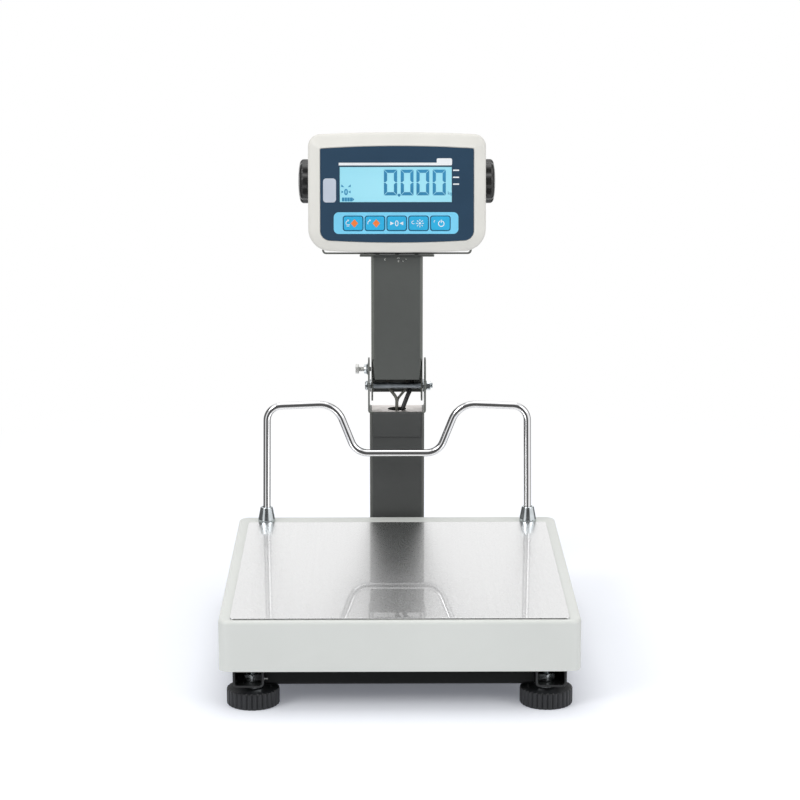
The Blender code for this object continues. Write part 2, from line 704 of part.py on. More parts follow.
# Platform

def tray(name, width, depth, height, sheet, corner, edge, location, parent, corner_steps=5, edge_steps=3):
    """A folded sheet tray with its mouth down; location is the middle of its top face."""
    bm = bmesh.new()
    bmesh.ops.create_cube(bm, size=1.0)
    bmesh.ops.scale(bm, vec=(width, depth, height), verts=bm.verts)
    bmesh.ops.translate(bm, vec=(0, 0, -height / 2), verts=bm.verts)
    upright = [e for e in bm.edges if abs(e.verts[0].co.z - e.verts[1].co.z) > height / 2]
    bmesh.ops.bevel(bm, geom=upright, offset=corner, segments=corner_steps, profile=0.5, affect="EDGES")
    rim = [e for e in bm.edges if all(abs(v.co.z) < 1e-6 for v in e.verts)]
    bmesh.ops.bevel(bm, geom=rim, offset=edge, segments=edge_steps, profile=0.5, affect="EDGES")
    mouth = [f for f in bm.faces if f.normal.z < -0.9]
    bmesh.ops.delete(bm, geom=mouth, context="FACES_ONLY")
    obj = place(mesh_object(name, bm), location, parent)
    shell = obj.modifiers.new("Solidify", "SOLIDIFY")
    shell.thickness = sheet
    shell.offset = -1
    shell.use_even_offset = True
    return smooth(obj)


def build_platform(datum, paint_grey, steel, chrome, rubber, black, zinc):
    spreader = tray("load_spreader", SPREADER_WIDTH, SPREADER_DEPTH, SPREADER_HEIGHT, SPREADER_SHEET,
                    SPREADER_CORNER, SPREADER_SHEET, (0, SPREADER_Y, SPREADER_TOP), datum, 3, 2)
    block_height = SPREADER_HEIGHT - SPREADER_SHEET / 2
    join(spreader, box("block", (SPREADER_BLOCK_WIDTH, SPACER_LENGTH, block_height),
                       (0, CELL_FREE_Y, SPREADER_BOTTOM + block_height / 2), datum))
    for y in (CELL_CENTRE_Y - CELL_BOLT_INNER, CELL_CENTRE_Y - CELL_BOLT_OUTER):
        drill(spreader, M6_RADIUS + BORE_SLACK, 4 * SPREADER_HEIGHT, "Z", (0, y, SPREADER_TOP), datum)
    paint(spreader, black)

    for side, sign in (("left", -1), ("right", 1)):
        strip = (BUMPER_WIDTH, SPREADER_DEPTH - 2 * BUMPER_INSET, BUMPER_HEIGHT)
        strip_place = (sign * (SPREADER_WIDTH / 2 - BUMPER_INSET), SPREADER_Y,
                       SPREADER_TOP + GAP + BUMPER_HEIGHT / 2)
        bumper = box(f"cover_bumper_{side}", strip, strip_place, datum, (0, 0, 0), BUMPER_HEIGHT / 4, 1)
        paint(bumper, rubber)

    cover = tray("platform_cover", COVER_WIDTH, COVER_DEPTH, COVER_SKIRT, COVER_SHEET, COVER_CORNER,
                 COVER_EDGE, (0, COVER_DEPTH / 2, COVER_TOP), datum)
    for x in (-GUARD_X, GUARD_X):
        drill(cover, GUARD_RADIUS + SLACK, 4 * COVER_EDGE, "Z", (x, GUARD_Y, COVER_TOP), datum)
    paint(cover, paint_grey)

    pan = as_mesh(plate("weighing_pan", [rounded_rectangle(PAN_WIDTH, PAN_DEPTH, PAN_CORNER)], PAN_SHEET,
                        (0, PAN_FRONT + PAN_DEPTH / 2, COVER_TOP + GAP + PAN_SHEET / 2), datum))
    add_bevel(pan, PAN_SHEET / 4, 1, 60)
    paint(pan, steel)

    half = [(GUARD_X, -GUARD_TAIL), (GUARD_OUTER_X, GUARD_OUTER_RISE), (GUARD_INNER_X, GUARD_INNER_RISE),
            (GUARD_DIP_X, GUARD_DIP_RISE)]
    bends = [0.0, GUARD_OUTER_BEND, GUARD_INNER_BEND, GUARD_DIP_BEND]
    corners = [(-x, 0.0, z) for x, z in half] + [(x, 0.0, z) for x, z in reversed(half)]
    route = filleted(corners, bends + bends[::-1], 5)
    rod = as_mesh(wire("guard_rod", route, GUARD_RADIUS, datum, 3, (0, GUARD_Y, COVER_TOP)))
    nut_z = COVER_UNDERSIDE - GAP - GUARD_NUT_HEIGHT / 2
    for x in (-GUARD_X, GUARD_X):
        join(rod, hexagon("nut", GUARD_NUT_ACROSS, GUARD_NUT_HEIGHT, "Z", (x, GUARD_Y, nut_z), datum))
    paint(smooth(rod), chrome)

    bore = GUARD_RADIUS + SLACK
    for side, x in (("left", -GUARD_X), ("right", GUARD_X)):
        profile = [(bore, CONE_HEIGHT), (CONE_TOP_RADIUS, CONE_HEIGHT), (CONE_BASE_RADIUS, CONE_FOOT),
                   (CONE_BASE_RADIUS, 0.0), (bore, 0.0)]
        paint(turned(f"guard_cone_{side}", profile, "Z", (x, GUARD_Y, COVER_TOP + GAP), datum, 24), zinc)


# Lower column and hinge

def bent_u(name, outer_half, bottom, top, sheet, bend, depth, location, parent):
    """A strip bent to a U; its outline lies in local XZ and its width runs along local Y."""
    inner = outer_half - sheet
    outer_line = [(-outer_half, top), (-outer_half, bottom), (outer_half, bottom), (outer_half, top)]
    inner_line = [(inner, top), (inner, bottom + sheet), (-inner, bottom + sheet), (-inner, top)]
    flat = filleted([(x, z, 0.0) for x, z in outer_line + inner_line],
                    [0, bend, bend, 0, 0, bend - sheet, bend - sheet, 0], 4, True)
    return as_mesh(plate(name, [[(x, z) for x, z, _ in flat]], depth, location, parent, (pi / 2, 0, 0)))


def side_form(half_width, bottom, top, radius, length, location, parent):
    """The side view of an ear or arm, square below and round above, to intersect a bent strip with."""
    right = arc((half_width - radius, top - radius), radius, 0.0, pi / 2, 6)
    left = arc((radius - half_width, top - radius), radius, pi / 2, pi, 6)
    outline = [(-half_width, bottom), (half_width, bottom)] + right + left[1 if radius == half_width else 0:]
    return as_mesh(plate("side_form", [outline], length, location, parent, (pi / 2, 0, pi / 2)))


def build_column(datum, dark, black, zinc):
    bracket_front = REAR_CROSSBAR_Y - RAIL_SIZE / 2
    bracket_back = COLUMN_Y + COLUMN_DEPTH / 2 + BRACKET_REACH
    bracket_y = (bracket_front + bracket_back) / 2
    holes = [circle(M6_RADIUS + BORE_SLACK, 16, (sign * COLUMN_BOLT_X, COLUMN_Y - bracket_y))
             for sign in (-1, 1)]
    bracket = plate("column_bracket",
                    [rounded_rectangle(BRACKET_WIDTH, bracket_back - bracket_front, BRACKET_CORNER)] + holes,
                    BRACKET_SHEET, (0, bracket_y, BRACKET_TOP - BRACKET_SHEET / 2), datum)
    paint(bracket, black)

    column_bottom = BRACKET_TOP + GAP
    column = square_tube("lower_column", COLUMN_WIDTH, COLUMN_DEPTH, COLUMN_WALL, COLUMN_CORNER,
                         COLUMN_TOP - column_bottom, (0, COLUMN_Y, (COLUMN_TOP + column_bottom) / 2), datum,
                         (0, 0, 0), 4)
    foot_plate = (COLUMN_WIDTH - COLUMN_WALL, COLUMN_DEPTH - COLUMN_WALL, COLUMN_FOOT_PLATE)
    join(column, box("foot_plate", foot_plate, (0, COLUMN_Y, column_bottom + COLUMN_FOOT_PLATE / 2), datum))
    for x in (-COLUMN_BOLT_X, COLUMN_BOLT_X):
        drill(column, M6_RADIUS + BORE_SLACK, 4 * COLUMN_FOOT_PLATE, "Z",
              (x, COLUMN_Y, column_bottom), datum)
    cable_hole_z = column_bottom + COLUMN_CABLE_HOLE_RISE
    drill(column, COLUMN_CABLE_HOLE_RADIUS, 4 * COLUMN_WALL, "Y",
          (0, COLUMN_Y - COLUMN_DEPTH / 2, cable_hole_z), datum)
    paint(column, dark)

    seat = BRACKET_TOP - BRACKET_SHEET - GAP
    nut_bottom = column_bottom + COLUMN_FOOT_PLATE + GAP
    for side, x in (("left", -COLUMN_BOLT_X), ("right", COLUMN_BOLT_X)):
        bolt = hex_bolt(f"column_bolt_{side}", M6_RADIUS, M6_HEAD_ACROSS, M6_HEAD_HEIGHT,
                        nut_bottom + M6_NUT_HEIGHT - seat, "Z", (x, COLUMN_Y, seat), datum, -1)
        join(bolt, hexagon("nut", M6_HEAD_ACROSS, M6_NUT_HEIGHT, "Z",
                           (x, COLUMN_Y, nut_bottom + M6_NUT_HEIGHT / 2), datum))
        paint(bolt, zinc)


def build_hinge(datum, dark, zinc):
    plate_bottom = HINGE_PLATE_TOP - EAR_SHEET
    ear_top = HINGE_PLATE_TOP + EAR_RISE
    hinge = bent_u("hinge_bracket", EAR_OUTER_HALF, plate_bottom, ear_top + OVERSHOOT, EAR_SHEET, EAR_BEND,
                   COLUMN_DEPTH + 2 * OVERSHOOT, (0, COLUMN_Y, 0), datum)
    form = side_form(COLUMN_DEPTH / 2, plate_bottom - OVERSHOOT, ear_top, EAR_TOP_RADIUS,
                     4 * EAR_OUTER_HALF, (0, COLUMN_Y, 0), datum)
    boolean(hinge, form, "INTERSECT")
    tab_front = COLUMN_Y - COLUMN_DEPTH / 2 - GAP - EAR_SHEET
    tab_back = COLUMN_Y - HINGE_CABLE_HOLE_RADIUS / 2
    top = HINGE_PLATE_TOP - SEAM
    underside = plate_bottom + SEAM
    tab_inner = tab_front + EAR_SHEET
    tab_end = HINGE_PLATE_TOP - TAB_DROP
    line = [(tab_front, tab_end, 0.0), (tab_inner, tab_end, 0.0), (tab_inner, underside, 0.0),
            (tab_back, underside, 0.0), (tab_back, top, 0.0), (tab_front, top, 0.0)]
    tab_line = [(y, z) for y, z, _ in filleted(line, [0, 0, GAP, 0, 0, EAR_SHEET], 3, True)]
    join(hinge, as_mesh(plate("tab", [tab_line], TAB_WIDTH, (0, 0, 0), datum, (pi / 2, 0, pi / 2))))
    drill(hinge, HINGE_CABLE_HOLE_RADIUS, 6 * EAR_SHEET, "Z",
          (0, COLUMN_Y - HINGE_CABLE_HOLE_FORWARD, HINGE_PLATE_TOP), datum, 28)
    bore = M5_RADIUS + BORE_SLACK
    nut_length = LOCK_NUT_LENGTH + EAR_SHEET / 2
    join(hinge, hexagon("lock_nut", M5_HEAD_ACROSS, nut_length, "X",
                        (-EAR_OUTER_HALF - LOCK_NUT_LENGTH + nut_length / 2, COLUMN_Y, LOCK_Z), datum))
    drill(hinge, bore, 4 * EAR_OUTER_HALF, "X", (0, COLUMN_Y, PIVOT_Z), datum)
    drill(hinge, bore, 6 * LOCK_NUT_LENGTH, "X", (-EAR_OUTER_HALF, COLUMN_Y, LOCK_Z), datum)
    paint(hinge, dark)

    shank_left = -EAR_OUTER_HALF - GAP
    shank_right = EAR_OUTER_HALF + GAP + PIVOT_NUT_HEIGHT + PIVOT_THREAD_END
    bolt = cylinder("pivot_bolt", M5_RADIUS, shank_right - shank_left + PIVOT_HEAD_HEIGHT / 2, "X",
                    ((shank_left + shank_right - PIVOT_HEAD_HEIGHT / 2) / 2, COLUMN_Y, PIVOT_Z), datum, 16)
    join(bolt, cylinder("head", 0.8 * PIVOT_HEAD_RADIUS, PIVOT_HEAD_HEIGHT, "X",
                        (shank_left - PIVOT_HEAD_HEIGHT / 2, COLUMN_Y, PIVOT_Z), datum, 20,
                        PIVOT_HEAD_RADIUS))
    paint(bolt, zinc)
    paint(ring_nut("pivot_nut", M5_HEAD_ACROSS, bore, PIVOT_NUT_HEIGHT, "X",
                   (EAR_OUTER_HALF + GAP + PIVOT_NUT_HEIGHT / 2, COLUMN_Y, PIVOT_Z), datum), zinc)
    washer_width = EAR_INNER_HALF - MAST_WIDTH / 2 - 2 * GAP
    for side, sign in (("left", -1), ("right", 1)):
        place_at = (sign * (EAR_INNER_HALF + MAST_WIDTH / 2) / 2, COLUMN_Y, PIVOT_Z)
        washer = cylinder(f"pivot_washer_{side}", WASHER_RADIUS, washer_width, "X", place_at, datum, 20)
        paint(drill(washer, bore, 6 * washer_width, "X", place_at, datum), zinc)

    tip = -MAST_WIDTH / 2 - GAP
    seat = -EAR_OUTER_HALF - GAP - LOCK_NUT_LENGTH - LOCK_STAND_OFF
    screw = hex_bolt("lock_screw", M5_RADIUS, M5_HEAD_ACROSS, LOCK_HEAD_HEIGHT, tip - seat, "X",
                     (seat, COLUMN_Y, LOCK_Z), datum, -1)
    paint(screw, zinc)


# Mast

def build_mast(pivot, head, dark, zinc):
    """The column is measured from the fold axis, and what the head carries from the tilt axis."""
    length = MAST_BELOW_PIVOT + MAST_LENGTH_TO_HEAD + MAST_DEPTH / 4
    mast = square_tube("upper_column", MAST_WIDTH, MAST_DEPTH, COLUMN_WALL, COLUMN_CORNER, length,
                       (0, 0, length / 2 - MAST_BELOW_PIVOT), pivot, (0, 0, 0), 4)
    opening = MAST_WIDTH - 2 * COLUMN_WALL
    for side, top in ((-1, MAST_FRONT_CUT), (1, MAST_BACK_CUT - MAST_BELOW_PIVOT)):
        height = top + MAST_BELOW_PIVOT + OVERSHOOT
        cut(mast, box("wall_cut", (opening, 4 * COLUMN_WALL, height),
                      (0, side * MAST_DEPTH / 2, top - height / 2), pivot))
    drill(mast, M5_RADIUS + BORE_SLACK, 2 * MAST_WIDTH, "X", (0, 0, 0), pivot)
    plate_bottom = -AXIS_ABOVE_HEAD_PLATE - HEAD_PLATE_SHEET
    cut(mast, box("mitre", (2 * MAST_WIDTH, 2 * MAST_DEPTH, MAST_DEPTH),
                  (0, 0, plate_bottom - GAP + MAST_DEPTH / 2), head))
    paint(mast, dark)

    screw_holes = [circle(M4_RADIUS + BORE_SLACK, 12, (sign * BAIL_SCREW_X, 0)) for sign in (-1, 1)]
    head_plate = plate("head_plate",
                       [rounded_rectangle(HEAD_PLATE_WIDTH, HEAD_PLATE_DEPTH, HEAD_PLATE_CORNER, 2),
                        circle(HEAD_CABLE_HOLE_RADIUS, 20)] + screw_holes,
                       HEAD_PLATE_SHEET, (0, 0, -AXIS_ABOVE_HEAD_PLATE - HEAD_PLATE_SHEET / 2), head)
    paint(head_plate, dark)

    bail_bottom = -AXIS_ABOVE_HEAD_PLATE + GAP
    bail_top = BAIL_WIDTH / 2
    bail = bent_u("bail", BAIL_OUTER_HALF, bail_bottom, bail_top + OVERSHOOT, BAIL_SHEET, BAIL_BEND,
                  BAIL_WIDTH + 2 * OVERSHOOT, (0, 0, 0), head)
    boolean(bail, side_form(BAIL_WIDTH / 2, bail_bottom - OVERSHOOT, bail_top, BAIL_WIDTH / 2,
                            4 * BAIL_OUTER_HALF, (0, 0, 0), head), "INTERSECT")
    for x in (-BAIL_SCREW_X, BAIL_SCREW_X):
        drill(bail, M4_RADIUS + BORE_SLACK, 6 * BAIL_SHEET, "Z", (x, 0, bail_bottom), head, 12)
    drill(bail, HEAD_CABLE_HOLE_RADIUS, 6 * BAIL_SHEET, "Z", (0, 0, bail_bottom), head)
    drill(bail, M6_RADIUS + BORE_SLACK, 4 * BAIL_OUTER_HALF, "X", (0, 0, 0), head)
    paint(bail, dark)

    seat = bail_bottom + BAIL_SHEET + GAP
    shank = seat + AXIS_ABOVE_HEAD_PLATE + HEAD_PLATE_SHEET + GAP
    for side, x in (("left", -BAIL_SCREW_X), ("right", BAIL_SCREW_X)):
        screw = cylinder(f"bail_screw_{side}", BAIL_SCREW_HEAD_RADIUS, BAIL_SCREW_HEAD_HEIGHT, "Z",
                         (x, 0, seat + BAIL_SCREW_HEAD_HEIGHT / 2), head, 20, 0.7 * BAIL_SCREW_HEAD_RADIUS)
        overlap = BAIL_SCREW_HEAD_HEIGHT / 2
        join(screw, cylinder("shank", M4_RADIUS, shank + overlap, "Z",
                             (x, 0, seat + overlap - (shank + overlap) / 2), head, 12))
        paint(screw, zinc)


# Indicator

def bezel_outline(inset=0.0):
    """The bezel's front view about the tilt axis: crowned edges, small corners above and large below."""
    half = BEZEL_WIDTH / 2 - inset
    top = BEZEL_TOP - inset
    bottom = -BEZEL_BOTTOM + inset
    middles = [i / 4 for i in range(-3, 4)]
    rise = [(-x * half, top - BEZEL_CROWN * x * x) for x in middles]
    fall = [(x * half, bottom + BEZEL_CROWN * x * x) for x in middles]
    corners = [(half, bottom + BEZEL_CROWN), (half, top - BEZEL_CROWN)]
    mirrored = [(-x, z) for x, z in reversed(corners)]
    points = corners + rise + mirrored + fall
    low = max(BEZEL_BOTTOM_CORNER - inset, 0.004)
    high = max(BEZEL_TOP_CORNER - inset, 0.0015)
    radii = [low, high] + [0] * len(rise) + [high, low] + [0] * len(fall)
    made = filleted([(x, z, 0.0) for x, z in points], radii, 5, True)
    return [(x, z) for x, z, _ in made]


def front_plate(name, outline, front, back, head):
    """An outline in local XZ, extruded from one depth to another along local Y."""
    return as_mesh(plate(name, [outline], back - front, (0, (front + back) / 2, 0), head, (pi / 2, 0, 0)))


def front_box(name, left, right, bottom, top, front, back, head):
    return box(name, (right - left, back - front, top - bottom),
               ((left + right) / 2, (front + back) / 2, (bottom + top) / 2), head)


def build_bezel(head, plastic):
    rim_front = -BEZEL_FRONT + BEZEL_RING_RISE
    bezel = front_plate("front_bezel", bezel_outline(), rim_front, BEZEL_BACK, head)
    bm = bmesh.new()
    bm.from_mesh(bezel.data)
    front = [f for f in bm.faces if f.normal.z > 0.9]
    bmesh.ops.dissolve_faces(bm, faces=front)
    front = [f for f in bm.faces if f.normal.z > 0.9]
    bmesh.ops.inset_region(bm, faces=front, thickness=BEZEL_RING_WIDTH, depth=BEZEL_RING_RISE,
                           use_even_offset=True)
    front = [f for f in bm.faces if f.normal.z > 0.999]
    bmesh.ops.inset_region(bm, faces=front, thickness=OVERLAY_MARGIN, depth=0.0, use_even_offset=True)
    front = [f for f in bm.faces if f.normal.z > 0.999 and len(f.verts) > 8]
    bmesh.ops.translate(bm, vec=(0, 0, -OVERLAY_SHEET - GAP),
                        verts=list({v for f in front for v in f.verts}))
    bm.to_mesh(bezel.data)
    bm.free()
    inner_front = -BEZEL_FRONT + OVERLAY_SHEET + GAP + BEZEL_WALL
    cavity = front_plate("cavity", bezel_outline(BEZEL_RING_WIDTH), inner_front,
                         BEZEL_BACK + OVERSHOOT, head)
    cut(bezel, cavity)
    cut(bezel, front_box("aperture", -DISPLAY_LEFT, DISPLAY_RIGHT, PANEL_Z - DISPLAY_BOTTOM,
                         PANEL_Z + DISPLAY_TOP, -BEZEL_FRONT - OVERSHOOT, inner_front + OVERSHOOT, head))
    for x in KEY_XS:
        cut(bezel, front_box("key_hole", x - KEY_WIDTH / 2 - GAP, x + KEY_WIDTH / 2 + GAP,
                             KEY_Z - KEY_HEIGHT / 2 - GAP, KEY_Z + KEY_HEIGHT / 2 + GAP,
                             -BEZEL_FRONT - OVERSHOOT, inner_front + OVERSHOOT, head))
    for x, z in board_posts():
        length = BOARD_FRONT - GAP - inner_front + BEZEL_WALL / 2
        join(bezel, cylinder("post", BOARD_POST_RADIUS, length, "Y",
                             (x, BOARD_FRONT - GAP - length / 2, z), head, 12))
    paint(bezel, plastic)


def board_posts():
    x = BOARD_WIDTH / 2 - BOARD_POST_INSET
    z = BOARD_HEIGHT / 2 - BOARD_POST_INSET
    return [(sx * x, sz * z - BOARD_BELOW_AXIS) for sx in (-1, 1) for sz in (-1, 1)]


def build_panel(head, navy, clear, board_green, keys_blue, module_grey):
    inset = BEZEL_RING_WIDTH + OVERLAY_MARGIN + GAP
    overlay_back = -BEZEL_FRONT + OVERLAY_SHEET
    overlay = front_plate("keypad_overlay", bezel_outline(inset), -BEZEL_FRONT, overlay_back, head)
    cut(overlay, front_box("aperture", -DISPLAY_LEFT, DISPLAY_RIGHT, PANEL_Z - DISPLAY_BOTTOM,
                           PANEL_Z + DISPLAY_TOP, -BEZEL_FRONT - OVERSHOOT, overlay_back + OVERSHOOT, head))
    for x in KEY_XS:
        cut(overlay, front_box("key_hole", x - KEY_WIDTH / 2 - GAP, x + KEY_WIDTH / 2 + GAP,
                               KEY_Z - KEY_HEIGHT / 2 - GAP, KEY_Z + KEY_HEIGHT / 2 + GAP,
                               -BEZEL_FRONT - OVERSHOOT, overlay_back + OVERSHOOT, head))
    paint(overlay, navy)

    inner_front = -BEZEL_FRONT + OVERLAY_SHEET + GAP + BEZEL_WALL
    window_front = -BEZEL_FRONT + OVERLAY_SHEET / 2
    window = front_box("display_window", GAP - DISPLAY_LEFT, DISPLAY_RIGHT - GAP,
                       PANEL_Z - DISPLAY_BOTTOM + GAP, PANEL_Z + DISPLAY_TOP - GAP,
                       window_front, window_front + WINDOW_SHEET, head)
    paint(window, clear)
    module = front_box("display_module", -DISPLAY_LEFT - MODULE_BORDER, DISPLAY_RIGHT + MODULE_BORDER,
                       PANEL_Z - DISPLAY_BOTTOM - MODULE_BORDER, PANEL_Z + DISPLAY_TOP + MODULE_BORDER,
                       inner_front + GAP, BOARD_FRONT - GAP, head)
    glass_front = window_front + WINDOW_SHEET + GAP
    join(module, front_box("glass", 2 * GAP - DISPLAY_LEFT, DISPLAY_RIGHT - 2 * GAP,
                           PANEL_Z - DISPLAY_BOTTOM + 2 * GAP, PANEL_Z + DISPLAY_TOP - 2 * GAP,
                           glass_front, inner_front + 2 * GAP, head))
    paint(module, module_grey)

    board = box("main_board", (BOARD_WIDTH, BOARD_SHEET, BOARD_HEIGHT),
                (0, BOARD_FRONT + BOARD_SHEET / 2, -BOARD_BELOW_AXIS), head)
    for x in KEY_XS:
        depth = SWITCH_HEIGHT + BOARD_SHEET / 2
        join(board, box("switch", (SWITCH_SIZE, depth, SWITCH_SIZE),
                        (x, BOARD_FRONT - SWITCH_HEIGHT + depth / 2, KEY_Z), head))
    paint(board, board_green)

    stem_end = BOARD_FRONT - SWITCH_HEIGHT - KEY_TRAVEL - GAP
    key_front = -BEZEL_FRONT - KEY_PROUD
    for name, x in zip(KEY_NAMES, KEY_XS):
        cap = box(name, (KEY_WIDTH, KEY_DEPTH, KEY_HEIGHT), (x, key_front + KEY_DEPTH / 2, KEY_Z), head)
        add_bevel(cap, KEY_PROUD / 2, 1, 60)
        stem_start = key_front + KEY_DEPTH / 2
        join(cap, cylinder("stem", KEY_STEM_RADIUS, stem_end - stem_start, "Y",
                           (x, (stem_start + stem_end) / 2, KEY_Z), head, 8))
        paint(cap, keys_blue)


def housing_profile():
    """The rear housing's side view: depth behind the tilt axis and height over it."""
    return [(BEZEL_BACK + GAP, HOUSING_TOP), (BEZEL_BACK + GAP, -HOUSING_BOTTOM),
            (HOUSING_BOTTOM_BREAK, -HOUSING_BOTTOM), (HOUSING_BACK, -HOUSING_BACK_BOTTOM),
            (HOUSING_BACK, HOUSING_BACK_TOP), (HOUSING_TOP_BREAK, HOUSING_TOP)]


def build_housing(head, plastic, black):
    body = as_mesh(plate("rear_housing", [housing_profile()], 2 * HOUSING_HALF, (0, 0, 0), head,
                         (pi / 2, 0, pi / 2)))
    bm = bmesh.new()
    bm.from_mesh(body.data)
    bmesh.ops.dissolve_limit(bm, angle_limit=radians(1), verts=bm.verts, edges=bm.edges)
    front_x = BEZEL_BACK + GAP
    mouth = [f for f in bm.faces if all(abs(v.co.x - front_x) < 1e-5 for v in f.verts)]
    keep = [e for e in bm.edges if not any(e in f.edges for f in mouth)]
    bmesh.ops.bevel(bm, geom=keep, offset=HOUSING_EDGE, segments=2, profile=0.5, affect="EDGES")
    mouth = [f for f in bm.faces if all(abs(v.co.x - front_x) < 1e-5 for v in f.verts)]
    bmesh.ops.delete(bm, geom=mouth, context="FACES_ONLY")
    bm.to_mesh(body.data)
    bm.free()
    shell = body.modifiers.new("Solidify", "SOLIDIFY")
    shell.thickness = HOUSING_WALL
    shell.offset = -1
    shell.use_even_offset = True
    smooth(body)
    bore = M6_RADIUS + BORE_SLACK
    for side in (-1, 1):
        reach = HOUSING_WALL / 2 + BOSS_LENGTH
        join(body, cylinder("boss", BOSS_RADIUS, reach, "X",
                            (side * (HOUSING_HALF - HOUSING_WALL / 2 - reach / 2), 0, 0), head, 16))
    drill(body, bore, 4 * HOUSING_HALF, "X", (0, 0, 0), head)
    for x, z in housing_screw_places():
        length = HOUSING_BOTTOM_BREAK - HOUSING_WALL - BEZEL_BACK
        post = cylinder("screw_post", HOUSING_POST_RADIUS, length, "Y",
                        (x, BEZEL_BACK + GAP + length / 2, z), head, 10)
        join(body, post)
    door_z = (HOUSING_BACK_TOP - HOUSING_BACK_BOTTOM) / 2
    for width, height, depth in ((BATTERY_DOOR_WIDTH, BATTERY_DOOR_HEIGHT, HOUSING_WALL / 2),
                                 (BATTERY_DOOR_WIDTH - 2 * BATTERY_DOOR_LIP,
                                  BATTERY_DOOR_HEIGHT - 2 * BATTERY_DOOR_LIP, 2 * HOUSING_WALL)):
        cut(body, front_box("door_opening", -width / 2 - GAP, width / 2 + GAP, door_z - height / 2 - GAP,
                            door_z + height / 2 + GAP, HOUSING_BACK - depth, HOUSING_BACK + OVERSHOOT, head))
    bottom = -HOUSING_BOTTOM
    drill(body, CABLE_RADIUS + BORE_SLACK, 4 * HOUSING_WALL, "Z", (0, 0, bottom), head)
    cut(body, box("socket_hole", (SOCKET_SIZE + 2 * GAP, SOCKET_SIZE + 2 * GAP, 4 * HOUSING_WALL),
                  (SOCKET_X, 0, bottom), head))
    for x, z in housing_screw_places():
        drill(body, M4_RADIUS + BORE_SLACK, 2 * HOUSING_BACK - 2 * BEZEL_BACK, "Y", (x, 0, z), head, 12)
    paint(body, plastic)

    door = front_box("battery_door", -BATTERY_DOOR_WIDTH / 2, BATTERY_DOOR_WIDTH / 2,
                     door_z - BATTERY_DOOR_HEIGHT / 2, door_z + BATTERY_DOOR_HEIGHT / 2,
                     HOUSING_BACK - HOUSING_WALL / 2 + GAP, HOUSING_BACK, head)
    for i in range(DOOR_GRIPS):
        z = door_z + BATTERY_DOOR_HEIGHT / 2 - (i + 2) * DOOR_GRIP_PITCH
        cut(door, front_box("grip", -DOOR_GRIP_LENGTH / 2, DOOR_GRIP_LENGTH / 2, z - DOOR_GRIP_WIDTH / 2,
                            z + DOOR_GRIP_WIDTH / 2, HOUSING_BACK - DOOR_GRIP_DEPTH,
                            HOUSING_BACK + OVERSHOOT, head))
    paint(door, plastic)

    inner_back = HOUSING_BACK - HOUSING_WALL - GAP
    battery = front_box("battery", -BATTERY_WIDTH / 2, BATTERY_WIDTH / 2, door_z - BATTERY_HEIGHT / 2,
                        door_z + BATTERY_HEIGHT / 2, inner_back - BATTERY_DEPTH, inner_back, head)
    add_bevel(battery, BATTERY_EDGE, 2)
    paint(battery, black)

    gland_bore = CABLE_RADIUS + GAP
    gland_line = [(gland_bore, 0.0), (GLAND_RADIUS, 0.0), (GLAND_TIP_RADIUS, -GLAND_LENGTH),
                  (gland_bore, -GLAND_LENGTH)]
    paint(turned("cable_gland", gland_line, "Z", (0, 0, bottom - GAP), head, 20), black)
    socket = box("dc_socket", (SOCKET_SIZE, SOCKET_SIZE, 2 * SOCKET_SIZE),
                 (SOCKET_X, 0, bottom + SOCKET_SIZE - GAP), head)
    drill(socket, SOCKET_BORE_RADIUS, SOCKET_SIZE, "Z", (SOCKET_X, 0, bottom), head)
    paint(socket, black)


def housing_screw_places():
    return [(sign * HOUSING_SCREW_X, z) for sign in (-1, 1)
            for z in (HOUSING_SCREW_TOP, -HOUSING_SCREW_BOTTOM)]


# Knobs

def build_knobs(head, black):
    for side, sign in (("left", -1), ("right", 1)):
        seat = BAIL_OUTER_HALF + GAP
        outer = KNOB_OUTER
        inner = KNOB_OUTER - KNOB_HEAD
        shoulder = outer - KNOB_CROWN
        round_start = KNOB_RADIUS - KNOB_RIM
        profile = [(0.0, outer), (0.55 * KNOB_RADIUS, outer - 0.3 * KNOB_CROWN), (round_start, shoulder),
                   (round_start + 0.7 * KNOB_RIM, shoulder - 0.35 * KNOB_RIM),
                   (KNOB_RADIUS, shoulder - KNOB_RIM), (KNOB_RADIUS, inner + KNOB_RIM / 2),
                   (KNOB_RADIUS - KNOB_RIM / 2, inner), (KNOB_HUB_RADIUS, inner), (KNOB_HUB_RADIUS, seat),
                   (M6_RADIUS, seat), (M6_RADIUS, seat - KNOB_STUD_LENGTH), (0.0, seat - KNOB_STUD_LENGTH)]
        knob = turned(f"knob_{side}", profile, "Z", (0, 0, 0), head, 24)
        knob.rotation_euler = (0, sign * pi / 2, 0)
        flutes = []
        ring = KNOB_RADIUS + KNOB_FLUTE_RADIUS - KNOB_FLUTE_DEPTH
        for i in range(KNOB_LOBES):
            angle = 2 * pi * (i + 0.5) / KNOB_LOBES
            flutes.append(cylinder("flute", KNOB_FLUTE_RADIUS, 2 * KNOB_HEAD, "X",
                                   (sign * (inner + KNOB_HEAD / 2), ring * cos(angle), ring * sin(angle)),
                                   head, 10))
        cut(knob, cutter_set("flutes", flutes, head))
        paint(knob, black)


# Cables

